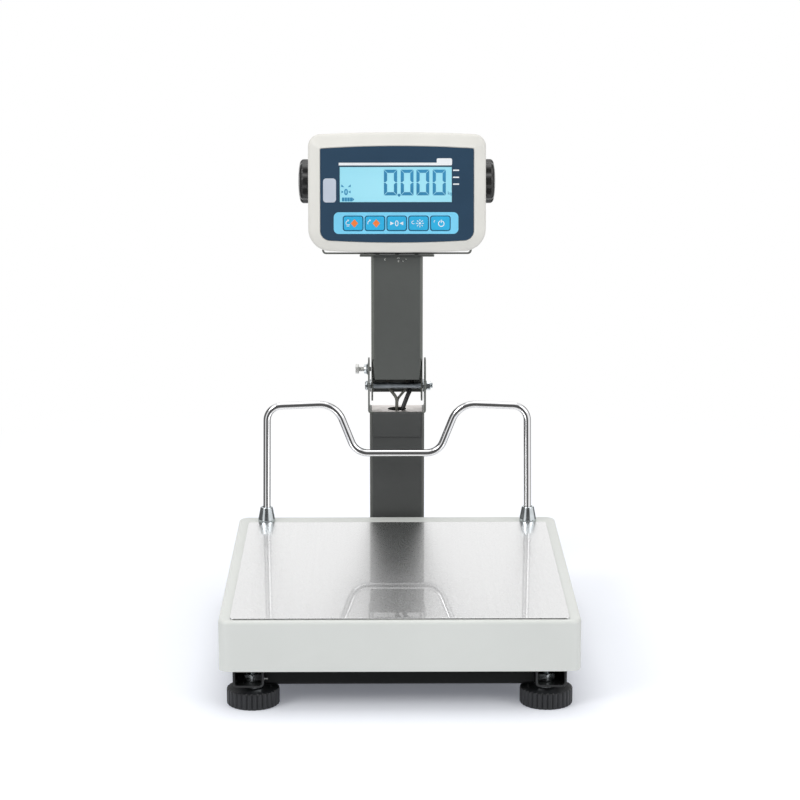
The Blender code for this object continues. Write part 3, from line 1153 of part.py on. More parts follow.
def build_cables(datum, head, black_cable):
    """Each route is a list of points chosen by hand, set out from the pieces that the cable passes."""
    spacing = 5 * CABLE_RADIUS
    crossbar_back = REAR_CROSSBAR_Y + RAIL_SIZE / 2
    hole_z = BRACKET_TOP + GAP + COLUMN_CABLE_HOLE_RISE
    cell_z = CELL_BOTTOM + CELL_HEIGHT / 2
    over = RAIL_TOP + CABLE_RADIUS + 4 * GAP
    cell_back = CELL_CENTRE_Y + CELL_LENGTH / 2 + GAP
    column_front = COLUMN_Y - COLUMN_DEPTH / 2
    lower = [(0, cell_back, cell_z), (0, cell_back + 0.020, cell_z),
             (0, crossbar_back - 0.022, over + 0.001), (0, crossbar_back - 0.004, over + 0.0005),
             (0, crossbar_back + 0.008, over - 0.006),
             (0, crossbar_back + 0.0155, over - 0.0155), (0, column_front - 0.008, hole_z + 0.0005),
             (0, column_front + 0.002, hole_z), (0, column_front + 0.010, hole_z + 0.004),
             (0, COLUMN_Y, hole_z + 0.016), (0, COLUMN_Y, COLUMN_TOP - 0.060),
             (0, COLUMN_Y, COLUMN_TOP - CABLE_JOIN_DEPTH)]
    paint(wire("cell_cable", smooth_route(lower, spacing), CABLE_RADIUS, datum), black_cable)

    start_z = COLUMN_TOP - CABLE_JOIN_DEPTH + 3 * GAP
    behind = COLUMN_Y + M5_RADIUS + CABLE_RADIUS + 0.0015
    top = MAST_LENGTH_TO_HEAD - CABLE_END_BELOW_HEAD
    hinge = [(0, COLUMN_Y, start_z), (0.002, COLUMN_Y, start_z + 0.010),
             (0.0055, COLUMN_Y - 0.002, HINGE_PLATE_TOP + 0.001),
             (0.0095, COLUMN_Y + 0.002, HINGE_PLATE_TOP + 0.011),
             (0.0135, behind, PIVOT_Z - 0.001), (0.0125, behind, PIVOT_Z + 0.014),
             (0.005, COLUMN_Y + 0.002, PIVOT_Z + 0.030), (0, COLUMN_Y, PIVOT_Z + 0.044),
             (0, COLUMN_Y, PIVOT_Z + 0.075), (0, COLUMN_Y, PIVOT_Z + top)]
    paint(wire("hinge_cable", smooth_route(hinge, spacing), CABLE_RADIUS, datum), black_cable)

    end_z = -HOUSING_BOTTOM + HOUSING_WALL
    bottom_z = GAP - CABLE_END_BELOW_HEAD - HEAD_TO_AXIS
    route = [(0, 0, bottom_z + 0.0008), (0, 0, -AXIS_ABOVE_HEAD_PLATE), (0, 0, end_z)]
    paint(wire("head_cable", smooth_route(route, spacing), CABLE_RADIUS, head), black_cable)


def main():
    global parts, cutters
    clear_scene()
    parts = make_collection("platform_scale")
    cutters = make_collection("cutters")

    black = make_material("black_powder_coat", (0.015, 0.015, 0.016), 0.5)
    dark = make_material("dark_grey_powder_coat", (0.075, 0.08, 0.08), 0.45)
    light = make_material("light_grey_paint", (0.68, 0.70, 0.68), 0.45)
    steel = make_material("brushed_stainless", (0.62, 0.63, 0.64), 0.32, 1.0)
    chrome = make_material("chrome", (0.75, 0.76, 0.78), 0.08, 1.0)
    zinc = make_material("zinc_plate", (0.62, 0.63, 0.65), 0.3, 1.0)
    aluminium = make_material("machined_aluminium", (0.72, 0.73, 0.75), 0.35, 1.0)
    rubber = make_material("black_rubber", (0.02, 0.02, 0.021), 0.7)
    plastic = make_material("light_grey_plastic", (0.62, 0.64, 0.64), 0.4)
    navy = make_material("navy_overlay", (0.03, 0.07, 0.12), 0.35)
    key_blue = make_material("key_blue", (0.01, 0.40, 0.90), 0.35)
    clear = make_material("display_window", (0.33, 0.75, 0.84), 0.1)
    module = make_material("display_module", (0.30, 0.62, 0.72), 0.4)
    board = make_material("circuit_board", (0.02, 0.16, 0.06), 0.5)
    knob_black = make_material("black_plastic", (0.018, 0.018, 0.02), 0.38)
    cable = make_material("black_cable", (0.02, 0.02, 0.02), 0.45)

    datum = make_empty("datum", (0, -HALF_OVERALL_DEPTH, 0))
    pivot = make_empty("fold_axis", (0, COLUMN_Y, PIVOT_Z), datum)
    head = make_empty("tilt_axis", (0, HEAD_TO_AXIS * sin(HEAD_TILT),
                                    MAST_LENGTH_TO_HEAD + HEAD_TO_AXIS * cos(HEAD_TILT)), pivot,
                      (-HEAD_TILT, 0, 0))

    build_feet(datum, rubber)
    build_base_frame(datum, black)
    build_load_cell(datum, aluminium, zinc)
    build_platform(datum, light, steel, chrome, rubber, black, zinc)
    build_column(datum, dark, black, zinc)
    build_hinge(datum, dark, zinc)
    build_mast(pivot, head, dark, zinc)
    build_bezel(head, plastic)
    build_panel(head, navy, clear, board, key_blue, module)
    build_housing(head, plastic, knob_black)
    build_knobs(head, knob_black)
    build_cables(datum, head, cable)


main()
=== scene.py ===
"""The looks of a bench platform scale with a folding mast and a tilting indicator.

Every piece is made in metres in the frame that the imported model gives: the origin is on
the floor under the middle of the whole scale, +X to the reader's right and +Z up.
"""

import logging
from dataclasses import dataclass, field
from enum import Enum
from math import cos, pi, radians, sin, tan
from typing import Callable, Sequence

import bmesh
import bpy
from mathutils import Euler, Matrix, Vector


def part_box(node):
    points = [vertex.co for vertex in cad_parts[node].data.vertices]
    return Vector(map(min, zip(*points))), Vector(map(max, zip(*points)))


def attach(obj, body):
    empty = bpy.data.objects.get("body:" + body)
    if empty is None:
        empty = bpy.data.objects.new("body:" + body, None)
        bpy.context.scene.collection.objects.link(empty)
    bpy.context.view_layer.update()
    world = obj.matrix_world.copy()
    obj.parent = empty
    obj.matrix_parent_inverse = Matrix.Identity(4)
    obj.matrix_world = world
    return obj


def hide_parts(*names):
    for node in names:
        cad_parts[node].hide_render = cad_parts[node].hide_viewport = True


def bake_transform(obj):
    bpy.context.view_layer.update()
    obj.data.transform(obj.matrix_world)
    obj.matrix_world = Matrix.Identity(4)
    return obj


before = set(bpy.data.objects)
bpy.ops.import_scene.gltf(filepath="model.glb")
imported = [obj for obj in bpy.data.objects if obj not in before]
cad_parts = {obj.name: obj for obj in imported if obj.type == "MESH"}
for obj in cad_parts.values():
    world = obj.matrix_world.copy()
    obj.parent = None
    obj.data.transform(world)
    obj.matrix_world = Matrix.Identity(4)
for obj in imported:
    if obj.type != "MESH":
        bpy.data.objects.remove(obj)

LOG = logging.getLogger("platform_scale")
Point = tuple[float, float, float]
Flat = tuple[float, float]
Place = Sequence[float]
Profile = tuple[Flat, ...]
Points = tuple[Point, ...]
Panel = tuple[float, float, float, int, Flat]
Ring = list[Point]
Thing = bpy.types.Object
Socket = bpy.types.NodeSocket
Feed = dict[str | int, object]

# What several sub-assemblies share, in metres where it is a size
AXES = {"X": (0, 1, 2), "Y": (1, 2, 0), "Z": (2, 0, 1)}
SIDES = (("left", -1), ("right", 1))
FOOT_X = 0.1183
FOOT_ROWS = (("front", -0.1782), ("rear", 0.1078))
COVER_TOP = 0.075
GUARD_X = 0.1195
GUARD_Y = 0.1138
GUARD_HOLE = 0.0037
COLUMN_Y = 0.1528
PIVOT_Z = 0.1938
HEAD_PLATE_V = -0.0665
HEAD_PLATE_HOLE = 0.0055
SIDE_STUD_HOLE = 0.0034
PIVOT_HOLE = 0.0029
GAP = 0.0003
NEAR = 0.0001
TOUCH = 0.00001
HEX_STEPS = 36
WHITE = (1.0, 1.0, 1.0, 1.0)
TILT_AXIS = Vector((0.0, 0.162194, 0.381543))
HEAD_LEAN = radians(8.0)
HEAD = Matrix.Translation(TILT_AXIS) @ Matrix.Rotation(-HEAD_LEAN, 4, "X")


# Shaping in edit mode


class Ends(Enum):
    """What closes the first and last ring of a lofted form."""

    CAPPED = "capped"
    JOINED = "joined"


def drop_selection() -> None:
    """Leave edit mode and deselect every object."""
    if bpy.context.mode != "OBJECT":
        bpy.ops.object.mode_set(mode="OBJECT")
    bpy.ops.object.select_all(action="DESELECT")


def take(obj: Thing) -> None:
    """Make one object the only selected and the active one.

    Args:
        obj: The object to take in hand.
    """
    drop_selection()
    bpy.context.view_layer.objects.active = obj
    obj.select_set(True)


class Workpiece:
    """A mesh under the tool: it starts as a primitive and is shaped in edit mode."""

    def __init__(self, name: str) -> None:
        """Take over the primitive that has just been added."""
        self.obj = bpy.context.active_object
        self.obj.name = self.obj.data.name = name

    @classmethod
    def block(cls, name: str, low: Place, high: Place) -> "Workpiece":
        """Start from a box between two corners.

        Args:
            name: The piece's name.
            low: Its lowest corner.
            high: Its highest corner.

        Returns:
            The piece, in edit mode.
        """
        drop_selection()
        size = Vector(high) - Vector(low)
        bpy.ops.mesh.primitive_cube_add(size=1.0, location=(Vector(low) + Vector(high)) / 2, scale=size)
        bpy.ops.object.transform_apply(location=True, rotation=True, scale=True)
        work = cls(name)
        bpy.ops.object.mode_set(mode="EDIT")
        return work

    @classmethod
    def loft(cls, name: str, rings: Sequence[Ring], ends: Ends = Ends.CAPPED) -> "Workpiece":
        """Start from a circle set to the first ring, and extrude its edge from ring to ring.

        Args:
            name: The piece's name.
            rings: Loops of points, all with the same count.
            ends: What closes the first and the last ring.

        Returns:
            The piece, in edit mode.
        """
        drop_selection()
        bpy.ops.mesh.primitive_circle_add(vertices=len(rings[0]), radius=1.0, fill_type="NOTHING")
        work = cls(name)
        bpy.ops.object.mode_set(mode="EDIT")
        bpy.ops.mesh.select_mode(type="VERT")
        bpy.ops.mesh.select_all(action="SELECT")
        mesh = work.mesh()
        mesh.verts.ensure_lookup_table()
        for vert, point in zip(mesh.verts, rings[0]):
            vert.co = point
        order = [vert.co[:] for vert in mesh.verts]
        first = set(order)
        bmesh.update_edit_mesh(work.obj.data)
        for ring in rings[1:]:
            order = work.grow(order, ring)
        if ends is Ends.CAPPED:
            bpy.ops.mesh.edge_face_add()
            work.pick_verts(lambda place: place[:] in first)
            bpy.ops.mesh.edge_face_add()
        else:
            both = first | set(order)
            work.pick_verts(lambda place: place[:] in both)
            bpy.ops.mesh.bridge_edge_loops()
        work.face_out()
        return work

    def grow(self, order: list[Point], ring: Ring) -> list[Point]:
        """Extrude the selected edge loop and set it on the next ring.

        Args:
            order: Where the selected loop's points are, in order.
            ring: Where the new loop's points go, in the same order.

        Returns:
            Where the new points ended up, in order.
        """
        bpy.ops.mesh.extrude_region()
        mesh = self.mesh()
        index = {place: i for i, place in enumerate(order)}
        fresh = [None] * len(ring)
        for vert in mesh.verts:
            if vert.select:
                fresh[index[vert.co[:]]] = vert
        for vert, point in zip(fresh, ring):
            vert.co = point
        made = [vert.co[:] for vert in fresh]
        bmesh.update_edit_mesh(self.obj.data)
        return made

    def mesh(self) -> bmesh.types.BMesh:
        """The mesh in edit mode."""
        return bmesh.from_edit_mesh(self.obj.data)

    def face_out(self) -> None:
        """Turn every face outwards."""
        bpy.ops.mesh.select_all(action="SELECT")
        bpy.ops.mesh.normals_make_consistent(inside=False)
        if self.mesh().calc_volume(signed=True) < 0:
            bpy.ops.mesh.flip_normals()

    def pick(self, kind: str, test: Callable[[object], bool]) -> None:
        """Select the elements of one kind that pass the test.

        Args:
            kind: VERT, EDGE or FACE.
            test: Says of an element whether it is picked.
        """
        bpy.ops.mesh.select_mode(type=kind)
        bpy.ops.mesh.select_all(action="DESELECT")
        mesh = self.mesh()
        for element in {"VERT": mesh.verts, "EDGE": mesh.edges, "FACE": mesh.faces}[kind]:
            element.select_set(test(element))
        if kind == "VERT":
            mesh.select_flush(True)
        bmesh.update_edit_mesh(self.obj.data)

    def pick_verts(self, test: Callable[[Vector], bool]) -> None:
        """Select the vertices whose place passes the test, and the edges between them."""
        self.pick("VERT", lambda vert: test(vert.co))

    def pick_edges(self, test: Callable[[Vector, Vector], bool]) -> None:
        """Select the edges whose two ends pass the test."""
        self.pick("EDGE", lambda edge: test(edge.verts[0].co, edge.verts[1].co))

    def bevel(self, width: float, segments: int) -> None:
        """Round the selected edges."""
        bpy.ops.mesh.bevel(offset=width, segments=segments, profile=0.5, affect="EDGES")

    def remove_faces(self, test: Callable[[Vector, Vector], bool]) -> None:
        """Delete the faces whose middle and normal pass the test."""
        self.pick("FACE", lambda face: test(face.calc_center_median(), face.normal))
        bpy.ops.mesh.delete(type="FACE")

    def done(self) -> Thing:
        """Leave edit mode and hand the object back."""
        bpy.ops.object.mode_set(mode="OBJECT")
        return self.obj


def add_modifier(obj: Thing, kind: str, **settings: object) -> None:
    """Add a modifier and apply it at once.

    Args:
        obj: The object to change.
        kind: The modifier's type.
        settings: Its settings by name.
    """
    take(obj)
    bpy.ops.object.modifier_add(type=kind)
    modifier = obj.modifiers[-1]
    for name, value in settings.items():
        setattr(modifier, name, value)
    bpy.ops.object.modifier_apply(modifier=modifier.name)


def carve(obj: Thing, *tools: Thing) -> None:
    """Cut each tool's form out of an object and throw the tool away.

    Args:
        obj: The object to cut.
        tools: The objects that cut it.
    """
    for tool in tools:
        add_modifier(obj, "BOOLEAN", operation="DIFFERENCE", solver="EXACT", object=tool)
        bpy.data.objects.remove(tool, do_unlink=True)


def soften(obj: Thing, width: float, segments: int = 2, angle: float = 40.0) -> None:
    """Break an object's sharp edges with a small bevel."""
    add_modifier(obj, "BEVEL", width=width, segments=segments, limit_method="ANGLE",
                 angle_limit=radians(angle), harden_normals=False)


def weld(pieces: Sequence[Thing], name: str) -> Thing:
    """Join several objects into one.

    Args:
        pieces: The objects to join.
        name: The joined object's name.

    Returns:
        The joined object.
    """
    take(pieces[0])
    for piece in pieces[1:]:
        piece.select_set(True)
    if len(pieces) > 1:
        bpy.ops.object.join()
    pieces[0].name = pieces[0].data.name = name
    return pieces[0]


def twin(obj: Thing, name: str, move: Matrix) -> Thing:
    """Copy an object with a mesh of its own, moved by a matrix.

    Args:
        obj: The object to copy.
        name: The copy's name.
        move: Where the copy goes, from where the first one is.

    Returns:
        The copy.
    """
    made = obj.copy()
    made.data = obj.data.copy()
    made.name = made.data.name = name
    bpy.context.scene.collection.objects.link(made)
    return settle(made, move)


def settle(obj: Thing, move: Matrix) -> Thing:
    """Move an object and put its place into its mesh, so that it sits at the origin.

    Args:
        obj: The object to move.
        move: The move.

    Returns:
        The same object.
    """
    take(obj)
    obj.matrix_world = move @ obj.matrix_world
    bpy.ops.object.transform_apply(location=True, rotation=True, scale=True)
    if move.determinant() < 0:
        work = Workpiece(obj.name)
        bpy.ops.object.mode_set(mode="EDIT")
        work.face_out()
        work.done()
    return obj


# Outlines and routes


def arc(centre: Flat, radius: float, start: float, end: float, steps: int) -> list[Flat]:
    """Points on an arc, both ends included."""
    return [(centre[0] + radius * cos(start + (end - start) * i / steps),
             centre[1] + radius * sin(start + (end - start) * i / steps)) for i in range(steps + 1)]


def rounded_rectangle(width: float, height: float, radius: float, steps: int = 8,
                      centre: Flat = (0.0, 0.0)) -> list[Flat]:
    """A rectangle with round corners.

    Args:
        width: Its size across.
        height: Its size up.
        radius: The corners' radius.
        steps: Steps round each corner.
        centre: Its middle.

    Returns:
        The outline, counter-clockwise.
    """
    x, y = width / 2 - radius, height / 2 - radius
    points: list[Flat] = []
    for i, (sx, sy) in enumerate(((1, 1), (-1, 1), (-1, -1), (1, -1))):
        corner = (centre[0] + sx * x, centre[1] + sy * y)
        points += arc(corner, radius, i * pi / 2, (i + 1) * pi / 2, steps)
    return points


def filleted(points: Sequence[Place], radii: Place, steps: int = 10, closed: bool = False) -> list[Point]:
    """Round the corners of a path.

    Args:
        points: The path's corners.
        radii: One radius per corner, 0 for a sharp one.
        steps: Steps round each corner.
        closed: Whether the path runs back to its start.

    Returns:
        The rounded path.
    """
    made: list[Point] = []
    count = len(points)
    for i, (point, radius) in enumerate(zip(points, radii)):
        here = Vector(point)
        if radius == 0 or (not closed and i in (0, count - 1)):
            made.append(tuple(here))
            continue
        before = (Vector(points[i - 1]) - here).normalized()
        after = (Vector(points[(i + 1) % count]) - here).normalized()
        half = before.angle(after) / 2
        reach = radius / tan(half)
        centre = here + (before + after).normalized() * (radius / sin(half))
        start = (here + before * reach - centre).normalized()
        end = (here + after * reach - centre).normalized()
        for k in range(steps + 1):
            made.append(tuple(centre + radius * start.slerp(end, k / steps)))
    return made


def stroke(line: Sequence[Flat], half: float) -> list[Flat]:
    """The outline of a pen stroke of one width along an open line.

    Args:
        line: The points that the pen passes.
        half: Half the stroke's width.

    Returns:
        The outline.
    """
    left: list[Flat] = []
    right: list[Flat] = []
    for i, point in enumerate(line):
        way = (Vector(line[min(i + 1, len(line) - 1)]) - Vector(line[max(i - 1, 0)])).normalized()
        side = Vector((-way[1], way[0])) * half
        left.append((point[0] + side[0], point[1] + side[1]))
        right.append((point[0] - side[0], point[1] - side[1]))
    return left + right[::-1]


def moved(flat: Sequence[Flat], x: float, v: float) -> list[Flat]:
    """An outline moved across the face."""
    return [(a + x, b + v) for a, b in flat]


def smooth_route(points: Sequence[Point], spacing: float) -> list[Vector]:
    """Read points off a smooth curve through a cable's own points.

    Args:
        points: The points that the cable passes.
        spacing: About how far apart the new points are.

    Returns:
        The points of the curve.
    """
    knots = [Vector(p) for p in points]
    knots = [2 * knots[0] - knots[1]] + knots + [2 * knots[-1] - knots[-2]]
    made = []
    for i in range(1, len(knots) - 2):
        a, b, c, d = knots[i - 1:i + 3]
        steps = max(1, round((c - b).length / spacing))
        for k in range(steps):
            t = k / steps
            made.append(0.5 * ((2 * b) + (c - a) * t + (2 * a - 5 * b + 4 * c - d) * t ** 2
                               + (3 * b - a - 3 * c + d) * t ** 3))
    return made + [knots[-2]]


def tube_rings(route: Sequence[Place], radius: float, sides: int = 24) -> list[Ring]:
    """Rings round a route, each carried on from the last one without twisting.

    Args:
        route: The middle line.
        radius: The tube's radius.
        sides: Points round it.

    Returns:
        The rings.
    """
    points = [Vector(p) for p in route]
    rings = []
    side = None
    for i, here in enumerate(points):
        ahead = points[min(i + 1, len(points) - 1)] - points[max(i - 1, 0)]
        along = ahead.normalized()
        if side is None:
            side = along.orthogonal().normalized()
        side = (side - along * side.dot(along)).normalized()
        up = along.cross(side)
        rings.append([tuple(here + radius * (cos(2 * pi * k / sides) * side + sin(2 * pi * k / sides) * up))
                      for k in range(sides)])
    return rings


def round_axis(centre: Place, along: float, radius: float, angle: float, axis: str) -> Point:
    """A point at an angle round an axis.

    Args:
        centre: The point on the axis that distances are measured from.
        along: How far the point lies along the axis.
        radius: How far it lies from the axis.
        angle: Its angle round the axis.
        axis: X, Y or Z.

    Returns:
        The point.
    """
    first, one, two = AXES[axis]
    place = list(centre)
    place[first] = centre[first] + along
    place[one] = centre[one] + radius * cos(angle)
    place[two] = centre[two] + radius * sin(angle)
    return tuple(place)


def lobed_circle(lobes: int, steps: int, radius: float, depth: float, sharpness: float) -> list[Flat]:
    """A circle that is dented between its lobes.

    Args:
        lobes: How many lobes it has.
        steps: Points for each lobe.
        radius: Its radius over the lobes.
        depth: How deep the dents are.
        sharpness: How narrow they are.

    Returns:
        The outline.
    """
    outline = []
    for k in range(lobes * steps):
        angle = 2 * pi * k / (lobes * steps)
        wave = 0.5 - 0.5 * cos(lobes * angle)
        here = radius - depth * wave ** sharpness
        outline.append((here * cos(angle), here * sin(angle)))
    return outline


def turned(name: str, profile: Sequence[Flat], centre: Place, axis: str, sides: int = 32,
           ends: Ends = Ends.CAPPED) -> Thing:
    """A turned form, from pairs of distance along its axis and radius."""
    rings = [[round_axis(centre, along, radius, 2 * pi * k / sides, axis) for k in range(sides)]
             for along, radius in profile]
    return Workpiece.loft(name, rings, ends).done()


def rod(name: str, radius: float, start: Place, length: float, axis: str, sides: int = 32) -> Thing:
    """A plain round bar from the middle of its first end."""
    return turned(name, [(0.0, radius), (length, radius)], start, axis, sides)


def slab(name: str, low: Place, high: Place) -> Thing:
    """A plain box, used as a cutter."""
    return Workpiece.block(name, low, high).done()


def drill(obj: Thing, radius: float, start: Place, length: float, axis: str = "Z", sides: int = 32) -> None:
    """Drill a round hole, from a point on its axis."""
    carve(obj, rod("drill", radius, start, length, axis, sides))


def notch(obj: Thing, low: Place, high: Place) -> None:
    """Cut a box's form out of an object."""
    carve(obj, slab("cut", low, high))


def open_ring(half_width: float, half_height: float) -> list[Flat]:
    """The line of a zero, nearly closed at its top."""
    return [(half_width * cos(a), half_height * sin(a))
            for a in (pi / 2 - 0.05 - 6.18 * i / 28 for i in range(29))]


def tube(name: str, width: float, depth: float, corner: float, wall: float, start: float, end: float,
         axis: str, centre: Flat) -> Thing:
    """A drawn rectangular tube with softened ends.

    Args:
        name: Its name.
        width: Its size across, along x, or y for a tube along x.
        depth: Its other size.
        corner: The outer corners' radius.
        wall: Its wall.
        start: Where it starts along its axis.
        end: Where it ends.
        axis: X, Y or Z.
        centre: The middle of its section, in the two other axes in order.

    Returns:
        The object.
    """
    soft = 0.00025
    inner = max(corner - wall, 2 * GAP)

    def ring(at: float, inset: float, radius: float) -> Ring:
        """One loop of the section, at a place along the tube."""
        flat = rounded_rectangle(width - 2 * inset, depth - 2 * inset, max(radius, GAP), 8, centre)
        return [{"X": (at, a, b), "Y": (a, at, b), "Z": (a, b, at)}[axis] for a, b in flat]

    rings = [ring(start, soft, corner - soft), ring(start + soft, 0.0, corner),
             ring(end - soft, 0.0, corner), ring(end, soft, corner - soft),
             ring(end, wall - soft, inner + soft), ring(end - soft, wall, inner),
             ring(start + soft, wall, inner), ring(start, wall - soft, inner + soft)]
    return Workpiece.loft(name, rings, Ends.JOINED).done()


# Finishes


class Wiring:
    """A node tree in the making."""

    def __init__(self, tree: bpy.types.NodeTree) -> None:
        """Take a tree in hand."""
        self.tree = tree

    def feed(self, node: bpy.types.Node, inputs: Feed) -> bpy.types.Node:
        """Set a node's inputs or link them.

        Args:
            node: The node.
            inputs: A value or a socket for each input, by the input's name or number.

        Returns:
            The same node.
        """
        for key, value in inputs.items():
            if isinstance(value, Socket):
                self.tree.links.new(value, node.inputs[key])
            else:
                node.inputs[key].default_value = value
        return node

    def add(self, kind: str, inputs: Feed | None = None, **settings: object) -> bpy.types.Node:
        """Add a node.

        Args:
            kind: The node's type, after the word that all shader nodes start with.
            inputs: What its inputs get.
            settings: Its settings by name.

        Returns:
            The node.
        """
        node = self.tree.nodes.new(f"ShaderNode{kind}")
        for name, value in settings.items():
            setattr(node, name, value)
        return self.feed(node, inputs or {})

    def math(self, operation: str, *values: object) -> Socket:
        """What a sum of one or two values gives."""
        return self.add("Math", dict(enumerate(values)), operation=operation).outputs[0]

    def between(self, share: Socket, first: object, second: object) -> Socket:
        """The first number where the share is 0 and the second where it is 1."""
        return self.add("Mix", {0: share, 2: first, 3: second}, data_type="FLOAT").outputs[0]

    def spread(self, value: Socket, low: float, high: float, start: float = 0.3, end: float = 0.7,
               easing: str = "LINEAR") -> Socket:
        """A value spread from its own start and end to a low and a high one."""
        span = {"Value": value, "From Min": start, "From Max": end, "To Min": low, "To Max": high}
        return self.add("MapRange", span, interpolation_type=easing).outputs["Result"]

    def ramp(self, value: Socket, stops: Sequence[tuple[float, Point]]) -> Socket:
        """Colours along a value.

        Args:
            value: The value.
            stops: Pairs of place and colour.

        Returns:
            The colour.
        """
        node = self.add("ValToRGB", {"Fac": value})
        elements = node.color_ramp.elements
        while len(elements) < len(stops):
            elements.new(0.5)
        for element, (at, colour) in zip(elements, stops):
            element.position = at
            element.color = (*colour, 1.0)
        return node.outputs["Color"]


def shaded(colour: Point, factor: float) -> Point:
    """A colour made lighter or darker."""
    return tuple(min(1.0, channel * factor) for channel in colour)


class Recipe(Wiring):
    """A material in the making, with one principled shader."""

    def __init__(self, name: str) -> None:
        """Start a material.

        Args:
            name: The material's name.
        """
        self.material = bpy.data.materials.new(name)
        self.material.use_nodes = True
        super().__init__(self.material.node_tree)
        self.shader = next(n for n in self.tree.nodes if n.type == "BSDF_PRINCIPLED")
        self.origin = self.add("TexCoord").outputs["Object"]

    def set(self, **values: object) -> None:
        """Set or link the shader's own sockets, named with underscores for spaces."""
        self.feed(self.shader, {name.replace("_", " "): value for name, value in values.items()})

    def place(self, stretch: Point, shift: Point = (0.0, 0.0, 0.0)) -> Socket:
        """Object coordinates through a mapping."""
        inputs = {"Vector": self.origin, "Scale": stretch, "Location": shift}
        return self.add("Mapping", inputs).outputs["Vector"]

    def noise(self, scale: float, detail: float = 2.0, roughness: float = 0.5,
              stretch: Point = (1.0, 1.0, 1.0)) -> Socket:
        """Noise on object coordinates, with its cells in a metre."""
        return self.add("TexNoise", {"Vector": self.place(stretch), "Scale": scale, "Detail": detail,
                                     "Roughness": roughness}).outputs["Fac"]

    def drifting(self, value: Socket, colour: Point, drift: float, start: float = 0.3,
                 end: float = 0.7) -> Socket:
        """A colour that gets a little lighter and darker with a value."""
        return self.ramp(value, [(start, shaded(colour, 1.0 - drift)), (end, shaded(colour, 1.0 + drift))])

    def gloss(self, value: Socket, roughness: float, less: float, more: float) -> Socket:
        """A roughness that changes a little with a value."""
        return self.spread(value, roughness - less, roughness + more)

    def relief(self, *layers: tuple[Socket, float, float]) -> None:
        """Stack bumps.

        Args:
            layers: For each bump its height, its strength and its depth in metres.
        """
        below: Feed = {}
        for height, strength, depth in layers:
            bump = self.add("Bump", {"Height": height, "Strength": strength, "Distance": depth, **below})
            below = {"Normal": bump.outputs["Normal"]}
        self.set(**below)


class Coating:
    """What all finishes share."""

    def lay(self, recipe: Recipe) -> None:
        """Fill in a recipe, each finish in its own way."""
        raise NotImplementedError

    def make(self, name: str) -> bpy.types.Material:
        """Build the material.

        Args:
            name: The material's name.

        Returns:
            The material.
        """
        recipe = Recipe(name)
        self.lay(recipe)
        return recipe.material


@dataclass(frozen=True)
class PowderCoat(Coating):
    """Baked powder paint: fine orange peel, slight drift in colour and gloss."""

    colour: Point
    roughness: float
    peel: float = 0.5
    drift: float = 0.04
    specular: float = 0.5
    # The highlight fields below: a painted highlight, a paler tint over a tube's upright corners that stands
    # in for the light they catch.
    highlight_from: float = 0.0
    highlight_width: float = 0.002
    highlight_gain: float = 1.6
    highlight_tint: Point = (1.04, 1.02, 0.97)

    def lay(self, recipe: Recipe) -> None:
        """Lay even paint, or paint with a painted highlight over the corners.

        Args:
            recipe: The material in the making.
        """
        coat = recipe.drifting(recipe.noise(14.0, 3.0), self.colour, self.drift)
        if self.highlight_from > 0:
            coat = self.painted_corner_highlight(recipe, coat)
        recipe.set(Base_Color=coat, Roughness=recipe.gloss(recipe.noise(300.0), self.roughness, 0.04, 0.05),
                   Specular_IOR_Level=self.specular)
        recipe.relief((recipe.noise(520.0), 0.3 * self.peel, 0.00006),
                      (recipe.noise(2100.0, 1.0), 0.22 * self.peel, 0.00002))

    def painted_corner_highlight(self, recipe: Recipe, coat: Socket) -> Socket:
        """The paint with a painted highlight: paler over a tube's upright corners, where they catch light.

        Args:
            recipe: The material in the making.
            coat: The even paint's colour.

        Returns:
            The colour with pale corners.
        """
        side = recipe.math("ABSOLUTE", recipe.add("SeparateXYZ", {0: recipe.origin}).outputs["X"])
        share = recipe.spread(side, 0.0, 1.0, self.highlight_from, self.highlight_from + self.highlight_width, "SMOOTHSTEP")
        # Painted highlight: this pale colour stands in for light caught by the rounded corners, not for bare
        # metal.
        bare = [channel * tint for channel, tint in zip(shaded(self.colour, self.highlight_gain), self.highlight_tint)]
        return recipe.add("Mix", {0: share, 6: coat, 7: (*bare, 1.0)}, data_type="RGBA").outputs[2]


@dataclass(frozen=True)
class BrushedSteel(Coating):
    """Ground metal: fine grooves one way, which spread what they mirror sideways."""

    colour: Point
    roughness: float
    groove: float
    streak: Point = (1.0, 0.008, 1.0)
    lacquer: float = 0.0
    lacquer_blur: float = 0.013
    lacquer_index: float = 1.5
    uneven: float = 0.0

    def lay(self, recipe: Recipe) -> None:
        """Lay the grooves, and over them a thin clear coat where there is one.

        Args:
            recipe: The material in the making.
        """
        if self.uneven > 0:
            normal = recipe.add("NewGeometry").outputs["Normal"]
            across = recipe.add("VectorMath", {0: (0.0, 1.0, 0.0), 1: normal}, operation="CROSS_PRODUCT")
            recipe.set(Tangent=across.outputs[0])
        fine = recipe.noise(3300.0, 2.0, 0.6, self.streak)
        wide = recipe.noise(420.0, 3.0, 0.55, self.streak)
        recipe.set(Base_Color=recipe.drifting(wide, self.colour, 0.02, 0.25, 0.75), Metallic=1.0,
                   Roughness=recipe.gloss(recipe.noise(900.0), self.roughness, 0.012, 0.012),
                   Coat_Weight=self.lacquer, Coat_Roughness=self.lacquer_blur, Coat_IOR=self.lacquer_index,
                   Anisotropic=self.uneven)
        recipe.relief((fine, 1.0, self.groove))


@dataclass(frozen=True)
class Plated(Coating):
    """Plated steel: chrome is smooth, zinc is a little cloudy."""

    colour: Point
    roughness: float
    cloud: float = 0.03
    grain: float = 0.1

    def lay(self, recipe: Recipe) -> None:
        """Lay cloudy metal.

        Args:
            recipe: The material in the making.
        """
        cloud = recipe.noise(160.0, 3.0)
        recipe.set(Base_Color=recipe.drifting(cloud, self.colour, self.cloud), Metallic=1.0,
                   Roughness=recipe.gloss(cloud, self.roughness, 0.0, 0.6 * self.roughness + 0.01))
        recipe.relief((recipe.noise(1400.0), self.grain, 0.00001))


